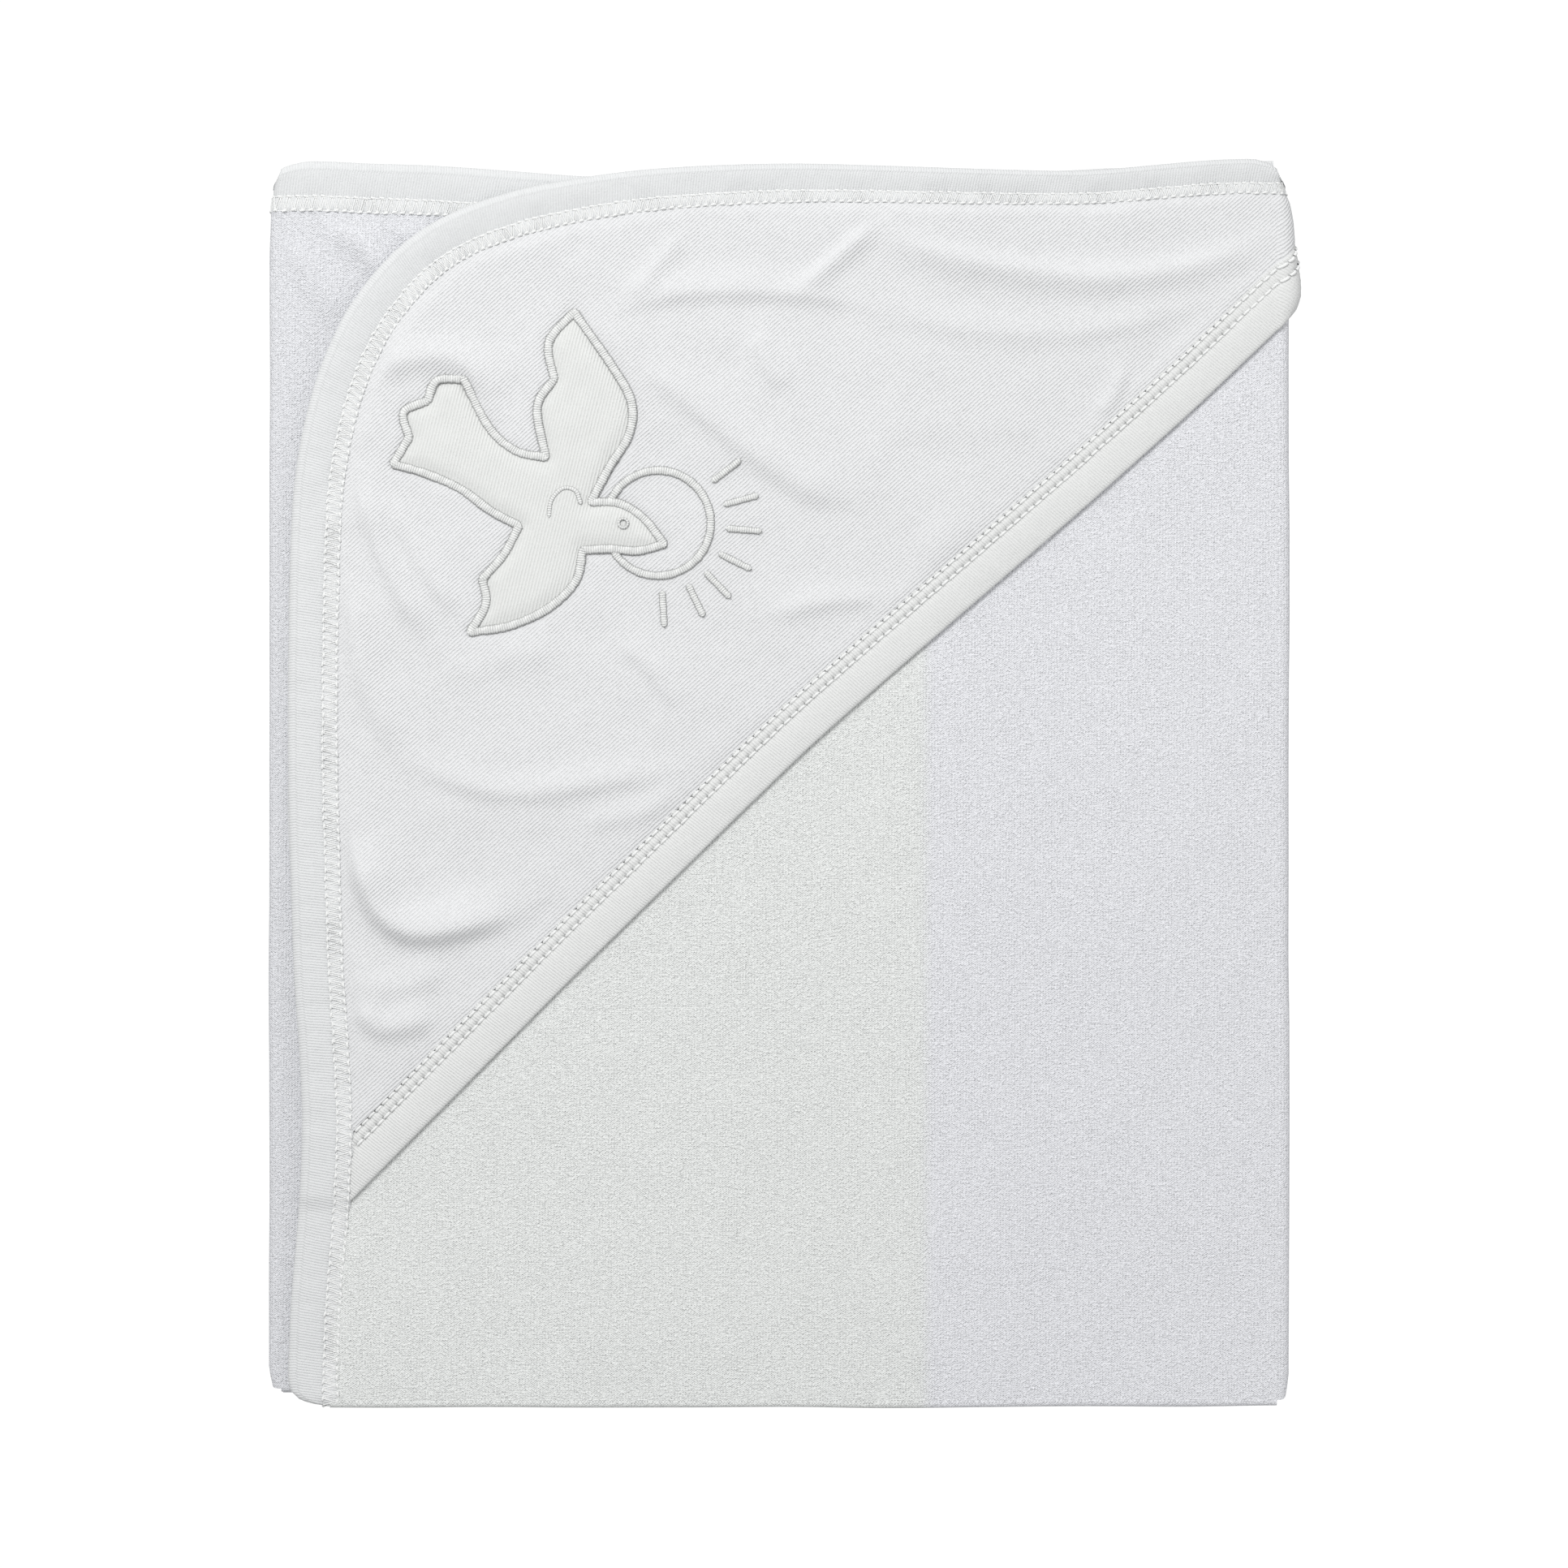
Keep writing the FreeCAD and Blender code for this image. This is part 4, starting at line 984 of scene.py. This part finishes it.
def make_hood():
    """The jersey hood in four pieces; gives back the two halves of the lip."""
    plan, faces = hood_plan()
    faces = np.array(faces)
    x, y = plan.T
    edge_distance, _, _ = near(EDGE_FINE, x, y)
    edge_distance = edge_distance / edge_scale(x, y)
    hem_distance, _, _ = near(HEM_FINE, x, y)
    z = (hood_face(x, y) - 0.50 * (1 - smoothstep(edge_distance, 13.6, 15.4))
         - 0.45 * (1 - smoothstep(hem_distance, 14.0, 16.0)))
    flat = np.column_stack([plan, z])
    bent = bend_round(RIGHT, flat)
    normals = vertex_normals(bent, faces, np.cross(bent[faces[:, 1]] - bent[faces[:, 0]],
                                                   bent[faces[:, 2]] - bent[faces[:, 0]]))
    centres = flat[faces].mean(1)
    along, depth = from_mouth(centres)
    label = np.where((along > LIP_START) & (along < LIP_MIDDLE) & (depth < LIP_DEPTH), 1, 0)
    label[(along >= LIP_MIDDLE) & (along < LIP_END) & (depth < LIP_DEPTH)] = 2
    label[centres[:, 0] > XR] = 3

    def piece(name, which):
        used, own = separate(faces[label == which])
        verts = np.vstack([bent[used], bent[used] - normals[used] * 1.0])
        both = own.tolist() + (own[:, ::-1] + len(used)).tolist()
        return add_mesh(name, verts, both, np.vstack([plan[used], plan[used] + 3.1]),
                        [JERSEY], None, np.vstack([normals[used], -normals[used]]))

    register(piece("hood_panel_v", 0), "jersey", "hood_panel", ride="top_layer")
    turn = piece("right_fold_hood_v", 3)
    register(turn, "jersey", "right_fold_hood")
    blend_fold(turn)
    return piece("hood_lip_panel_left_v", 1), piece("hood_lip_panel_right_v", 2)


# Profile of the hem tape by distance from the hem: upper face, round (angles), lower face.
HEM_UPPER = np.array([15.4, 15.1, 14.7, 14.3, 13.9, 13.5, 13.1, 12.6, 12.0, 11.4, 10.9, 10.5,
                      10.1, 9.7, 9.2, 8.2, 6.8, 5.2, 3.6, 2.2, 1.2])
HEM_ROUND = np.radians([65, 35, 5, -25, -60])
HEM_LOWER = np.array([1.4, 6.0, 11.0, 15.2])
HEM_ROWS = ((10.3, 0.0), (13.7, 0.12))      # stitch rows: distance, phase in pitches
HEM_PITCH = 2.85
HEM_BASE, HEM_TOP = 12.05, 13.35


def hem_surfaces():
    """Tape along the hood opening, with two rows of stitches."""
    path, along = smooth_path(HEM_POINTS, 0.42)
    normal = -inward(path)
    dt, u, pitch = HEM_UPPER, along[:, None], HEM_PITCH
    puff = 0.55 * np.sin(np.pi * np.clip((dt - 0.2) / 9.9, 0, 1)) ** 0.7
    between = (0.50 * bell(dt, 12.0, 1.15)
               * (0.35 + 0.65 * np.abs(np.sin(np.pi * u / pitch)) ** 0.7))
    # the relief fades towards the right fold
    fade = 1 - smoothstep(path[:, 0], 138, 150)[:, None]
    upper = HEM_TOP + puff + between * fade + 0.09 * noise(u, dt, 5.0, 71)
    for row, phase in HEM_ROWS:
        hole = np.cos(np.pi * ((u + phase * pitch) / pitch)) ** 6
        upper = (upper - 0.16 * bell(dt, row, 0.75)
                 - 0.85 * hole * bell(dt, row, 0.7) * (0.3 + 0.7 * fade))
    upper = upper - 0.55 * smoothstep(dt, 14.6, 15.4)
    half = (HEM_TOP + puff[-1] - HEM_BASE) / 2
    outer = HEM_BASE + half + half * np.sin(HEM_ROUND) + 0 * u
    lower = np.full((len(along), len(HEM_LOWER)), HEM_BASE)
    across = np.concatenate([dt, 1.05 - 1.05 * np.cos(HEM_ROUND), HEM_LOWER])
    x, y = sweep(path, normal, across)
    distance = near(EDGE_FINE, x, y)[0].reshape(x.shape)
    sink = 1.5 * (1 - smoothstep(distance, 13.6, 17.0)) * (x < -60)
    z = np.concatenate([upper, outer, lower], 1) - sink - drop(x)
    surfaces = Surfaces()
    surfaces.add_grid(x, y, z, u, np.concatenate([dt, 0.6 - HEM_ROUND, -HEM_LOWER - 1.5]))

    stitches = []
    jitter = np.random.default_rng(5)
    t = np.linspace(0.13, 0.87, 7)
    for row, phase in HEM_ROWS:
        for k in range(int(along[-1] / pitch) - 1):
            offset = row + jitter.uniform(-0.12, 0.12)
            at = (k + 1 - phase) * pitch + t * pitch
            x, y = (np.interp(at, along, path[:, i]) + np.interp(at, along, normal[:, i]) * offset
                    for i in (0, 1))
            z = HEM_TOP - 0.50 + 0.62 * np.sin(np.pi * t) ** 0.8 - drop(x)
            # none under the binding at the left end
            if x[0] < -60 and near(EDGE_FINE, x[:1], y[:1])[0][0] < 16.2:
                continue
            stitches.append(np.stack([x, y, z], -1))
    surfaces.add(*tubes(stitches, 0.40, 6), 1)
    return surfaces


def pick_hem(centres):
    along, _ = from_mouth(centres)
    x = centres[:, 0]
    names = np.full(len(x), "hood_tape_left_v", dtype=object)
    names[along >= LIP_START] = "hood_lip_tape_left_v"
    names[along >= LIP_MIDDLE] = "hood_lip_tape_right_v"
    names[along >= LIP_END] = "hood_tape_right_v"
    names[x > XR] = "right_fold_hood_tape_v"
    names[x > HOOD_REACH] = ""
    distance, side, _ = near(EDGE_FINE, x, centres[:, 1])
    names[(x < -60) & (distance * side < 12.8)] = ""
    return names


def make_lip(ob, slot, anchor, *replaced):
    """Half of the lip: hides the parts it replaces and bakes its placement into its mesh."""
    register(ob, slot, *replaced)
    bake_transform(ob)


lip_panels = make_hood()
hem = hem_surfaces().split([HOOD_TAPE, THREAD], pick_hem, lambda flat: bend_round(RIGHT, flat))
for side in ("left", "right"):
    register(hem[f"hood_tape_{side}_v"], "hood_tape", "hood_tape_" + side,
             "hood_needle_low_" + side, "hood_needle_high_" + side, ride="top_layer")
register(hem["right_fold_hood_tape_v"], "hood_tape", "right_fold_hood_tape")
blend_fold(hem["right_fold_hood_tape_v"])
for panel, anchor in zip(lip_panels, (LIP_START, LIP_END)):
    make_lip(panel, "jersey", anchor, "hood_lip_panel")
for side, anchor in (("left", LIP_START), ("right", LIP_END)):
    make_lip(hem[f"hood_lip_tape_{side}_v"], "hood_tape", anchor, "hood_lip_tape",
             "hood_lip_needle_low", "hood_lip_needle_high")


def make_under_end(name, corners, mat, slot):
    """End of the hood on the underside, beyond the right fold."""
    ring = closed_steps(corners, 1.5)
    plan, faces = fill(ring, 1.5)
    x, y = plan.T
    distance, _, _ = near(np.array(ring + ring[:1]), x, y)
    soft = np.sqrt(np.clip(distance / 1.2, 0, 1)) * 0.55
    under_z = np.maximum(0.6 - soft - 0.1 * noise(x, y, 8.0, 91), 0.0)
    along_x, along_y = MOUTH_ALONG
    uv = np.column_stack([plan @ np.array([-along_x, along_y]),
                          plan @ np.array([along_y, along_x])])
    surfaces = Surfaces()
    surfaces.add(np.column_stack([plan, under_z]), [f[::-1] for f in faces], uv)
    surfaces.add(np.column_stack([plan, 0.6 + soft]), faces, uv)
    register(surfaces.build(name + "_v", [mat]), slot, name, ride="middle_layer")


make_under_end("hood_end_under", [(148.4, 168.1), (148.4, 181.6), (146.6, 183.4),
                                  (142.6, 184.2), (130.7, 184.2)], JERSEY, "jersey")
make_under_end("hood_tape_end_under", [(148.4, 147.8), (148.4, 168.5), (130.5, 184.2),
                                       (109.0, 184.2)], HOOD_TAPE, "hood_tape")

# ------------------------------------------------------------------ embroidery
SATIN_STEP = 0.15
RING_CENTRE, RING_RADIUS = np.array([-37.8, 78.3]), 15.8
RAY_ANGLES = (37.5, 15.5, -4.5, -26.5, -46.0, -64.0, -86.5)
RAY_START, RAY_END = 20.4, 31.2             # from the ring's centre
EYE_CENTRE, EYE_RADIUS = np.array([-48.2, 78.2]), 1.35
WING_LINE = [(-70.5, 80), (-69.8, 85), (-66.5, 88.6), (-62.6, 88), (-60.9, 84)]


def add_satin(surfaces, points, width, height, step, seed, base, ends=True):
    """Raised bar of close parallel threads along a line; ends rounds its two ends."""
    path, along = smooth_path(points, step)
    t = np.array([-1, -0.93, -0.75, -0.45, 0, 0.45, 0.75, 0.93, 1.0])
    u = along[:, None]
    ground = hood_face(path[:, 0], path[:, 1])
    ground = np.convolve(np.pad(ground, 12, mode="edge"), np.ones(25) / 25, mode="valid")
    half = width / 2 * (1 + 0.10 * noise(along, 0 * along, 0.45, seed)
                        + 0.05 * noise(along, 0 * along, 6, seed + 1))
    if ends:
        to_end = np.minimum(along, along[-1] - along)
        half = half * np.sqrt(np.clip(to_end / (width * 0.35), 0.06, 1))
    ridge = np.sin(2 * np.pi * (u + 0.22 * t) / 0.62)
    profile = np.sqrt(np.clip(1 - np.abs(t)**2.6, 0, 1))
    z = ground[:, None] + base - 0.18 + (height + 0.18) * profile * (
        1 + 0.17 * ridge + 0.05 * noise(u * 3, t * 2, 1, seed + 2))
    x, y = sweep(path, inward(path), half[:, None] * t)
    surfaces.add_grid(x, y, z, u, t * 100)


def register_satin(surfaces, name):
    register(surfaces.build(name + "_v", [SATIN]), "satin", name, ride="top_layer")


def make_satin(name, *args, **settings):
    surfaces = Surfaces()
    add_satin(surfaces, *args, **settings)
    register_satin(surfaces, name)


def make_bird_outline():
    """One bar from each corner to the next, a little longer than its part of the outline."""
    surfaces = Surfaces()
    starts = BIRD_AT + [BIRD_AT[0] + len(BIRD_LINE)]
    loop = np.vstack([BIRD_LINE, BIRD_LINE, BIRD_LINE[:2]])
    for i, (start, end) in enumerate(zip(starts, starts[1:])):
        part = loop[start:end + 1]
        first, last = part[0] - part[1], part[-1] - part[-2]
        part = np.vstack([part[0] + first / np.linalg.norm(first) * 0.8, part,
                          part[-1] + last / np.linalg.norm(last) * 0.8])
        add_satin(surfaces, part, width=2.75, height=0.80, step=SATIN_STEP, seed=20 + i,
                  base=0.50 + 0.03 * (i % 2))
    register_satin(surfaces, "bird_outline")


def make_bird_patch():
    plan, faces = fill(BIRD_LINE[::2], 1.1)
    x, y = plan.T
    distance, _, _ = near(BIRD_CLOSED, x, y)
    z = (hood_face(x, y) + 0.30 + 0.42 * smoothstep(distance, 0.8, 5.5)
         + 0.16 * noise(x, y, 6.0, 81) * smoothstep(distance, 1, 4))
    ob = add_mesh("bird_patch_v", np.column_stack([plan, z]), faces, plan, [TWILL])
    register(ob, "twill", "bird_patch", ride="top_layer")


def circle(centre, radius, degrees):
    angle = np.radians(degrees)
    return centre + radius * np.stack([np.cos(angle), np.sin(angle)], 1)


def make_ring():
    """Only the part of the ring that the bird leaves free."""
    points = circle(RING_CENTRE, RING_RADIUS, np.arange(0, 360, 0.5))
    free = ~inside(BIRD_LINE, points)
    hidden = np.where(~free)[0]
    order = np.roll(np.arange(len(points)), -hidden[len(hidden) // 2])
    arc = points[order][free[order]]
    make_satin("satin_ring", arc[::4], width=2.55, height=0.85, step=SATIN_STEP, seed=50,
               base=0.15, ends=False)


make_bird_outline()
make_bird_patch()
make_ring()
for number, degrees in enumerate(RAY_ANGLES, start=1):
    angle = math.radians(degrees)
    direction = np.array([math.cos(angle), math.sin(angle)])
    ray = [RING_CENTRE + direction * r for r in np.linspace(RAY_START, RAY_END, 6)]
    make_satin(f"satin_ray_{number}", ray, width=2.15, height=0.80, step=SATIN_STEP,
               seed=60 + number, base=0.12)
make_satin("bird_eye", circle(EYE_CENTRE, EYE_RADIUS, np.arange(0, 361, 15)), width=0.85,
           height=0.45, step=0.15, seed=75, base=1.0, ends=False)
make_satin("bird_wing_line", WING_LINE, width=1.3, height=0.3, step=0.2, seed=77, base=0.80)


# ------------------------------------------------------------------ light and camera
def make_world():
    """White to the camera; soft grey light that is a little weaker from -y."""
    world = bpy.data.worlds.new("World")
    bpy.context.scene.world = world
    world.use_nodes = True
    tree = world.node_tree
    tree.nodes.clear()
    place = node(tree, "ShaderNodeTexCoord")
    axes = node(tree, "ShaderNodeSeparateXYZ", {0: place.outputs["Generated"]})
    ramp = node(tree, "ShaderNodeMapRange", {
        "Value": axes.outputs[1], "From Min": -1.0, "From Max": 1.0,
        "To Min": 0.82, "To Max": 1.0})
    grey = node(tree, "ShaderNodeCombineXYZ", {i: ramp.outputs[0] for i in range(3)})
    soft = node(tree, "ShaderNodeBackground", {"Color": grey.outputs[0], "Strength": 0.69})
    white = node(tree, "ShaderNodeBackground", {"Color": (1, 1, 1, 1), "Strength": 1.05})
    rays = node(tree, "ShaderNodeLightPath")
    mix = node(tree, "ShaderNodeMixShader", {
        0: rays.outputs["Is Camera Ray"], 1: soft.outputs[0], 2: white.outputs[0]})
    node(tree, "ShaderNodeOutputWorld", {0: mix.outputs[0]})


def make_light(name, location, size, power, colour):
    """Round area light aimed at the origin; location and size in metres, power in watts."""
    light = bpy.data.lights.new(name, "AREA")
    light.shape = "DISK"
    light.size = size
    light.energy = power
    light.color = colour
    ob = bpy.data.objects.new(name, light)
    ob.location = location
    ob.rotation_euler = (-Vector(location)).to_track_quat("-Z", "Y").to_euler()
    bpy.context.scene.collection.objects.link(ob)


def make_camera():
    """Looks straight down and frames VIEW_WIDTH at the height of the towel's top."""
    camera = bpy.data.cameras.new("camera")
    camera.lens = 100
    camera.sensor_width = 36
    camera.clip_end = 20
    ob = bpy.data.objects.new("camera", camera)
    ob.location = (0.0, 0.0, (TOWEL_TOP + VIEW_WIDTH * 100 / 36) * MM)
    bpy.context.scene.collection.objects.link(ob)
    bpy.context.scene.camera = ob


VIEW_WIDTH = 471.0216
make_world()
make_light("key", location=(-0.42, 0.80, 1.20), size=0.60, power=14.0,
           colour=(1.0, 0.995, 0.985))
make_light("fill", location=(1.25, 0.20, 0.95), size=0.9, power=2.4, colour=(1.0, 1.0, 1.0))
make_camera()
bpy.context.scene.view_settings.view_transform = "Standard"
bpy.context.scene.view_settings.look = "None"
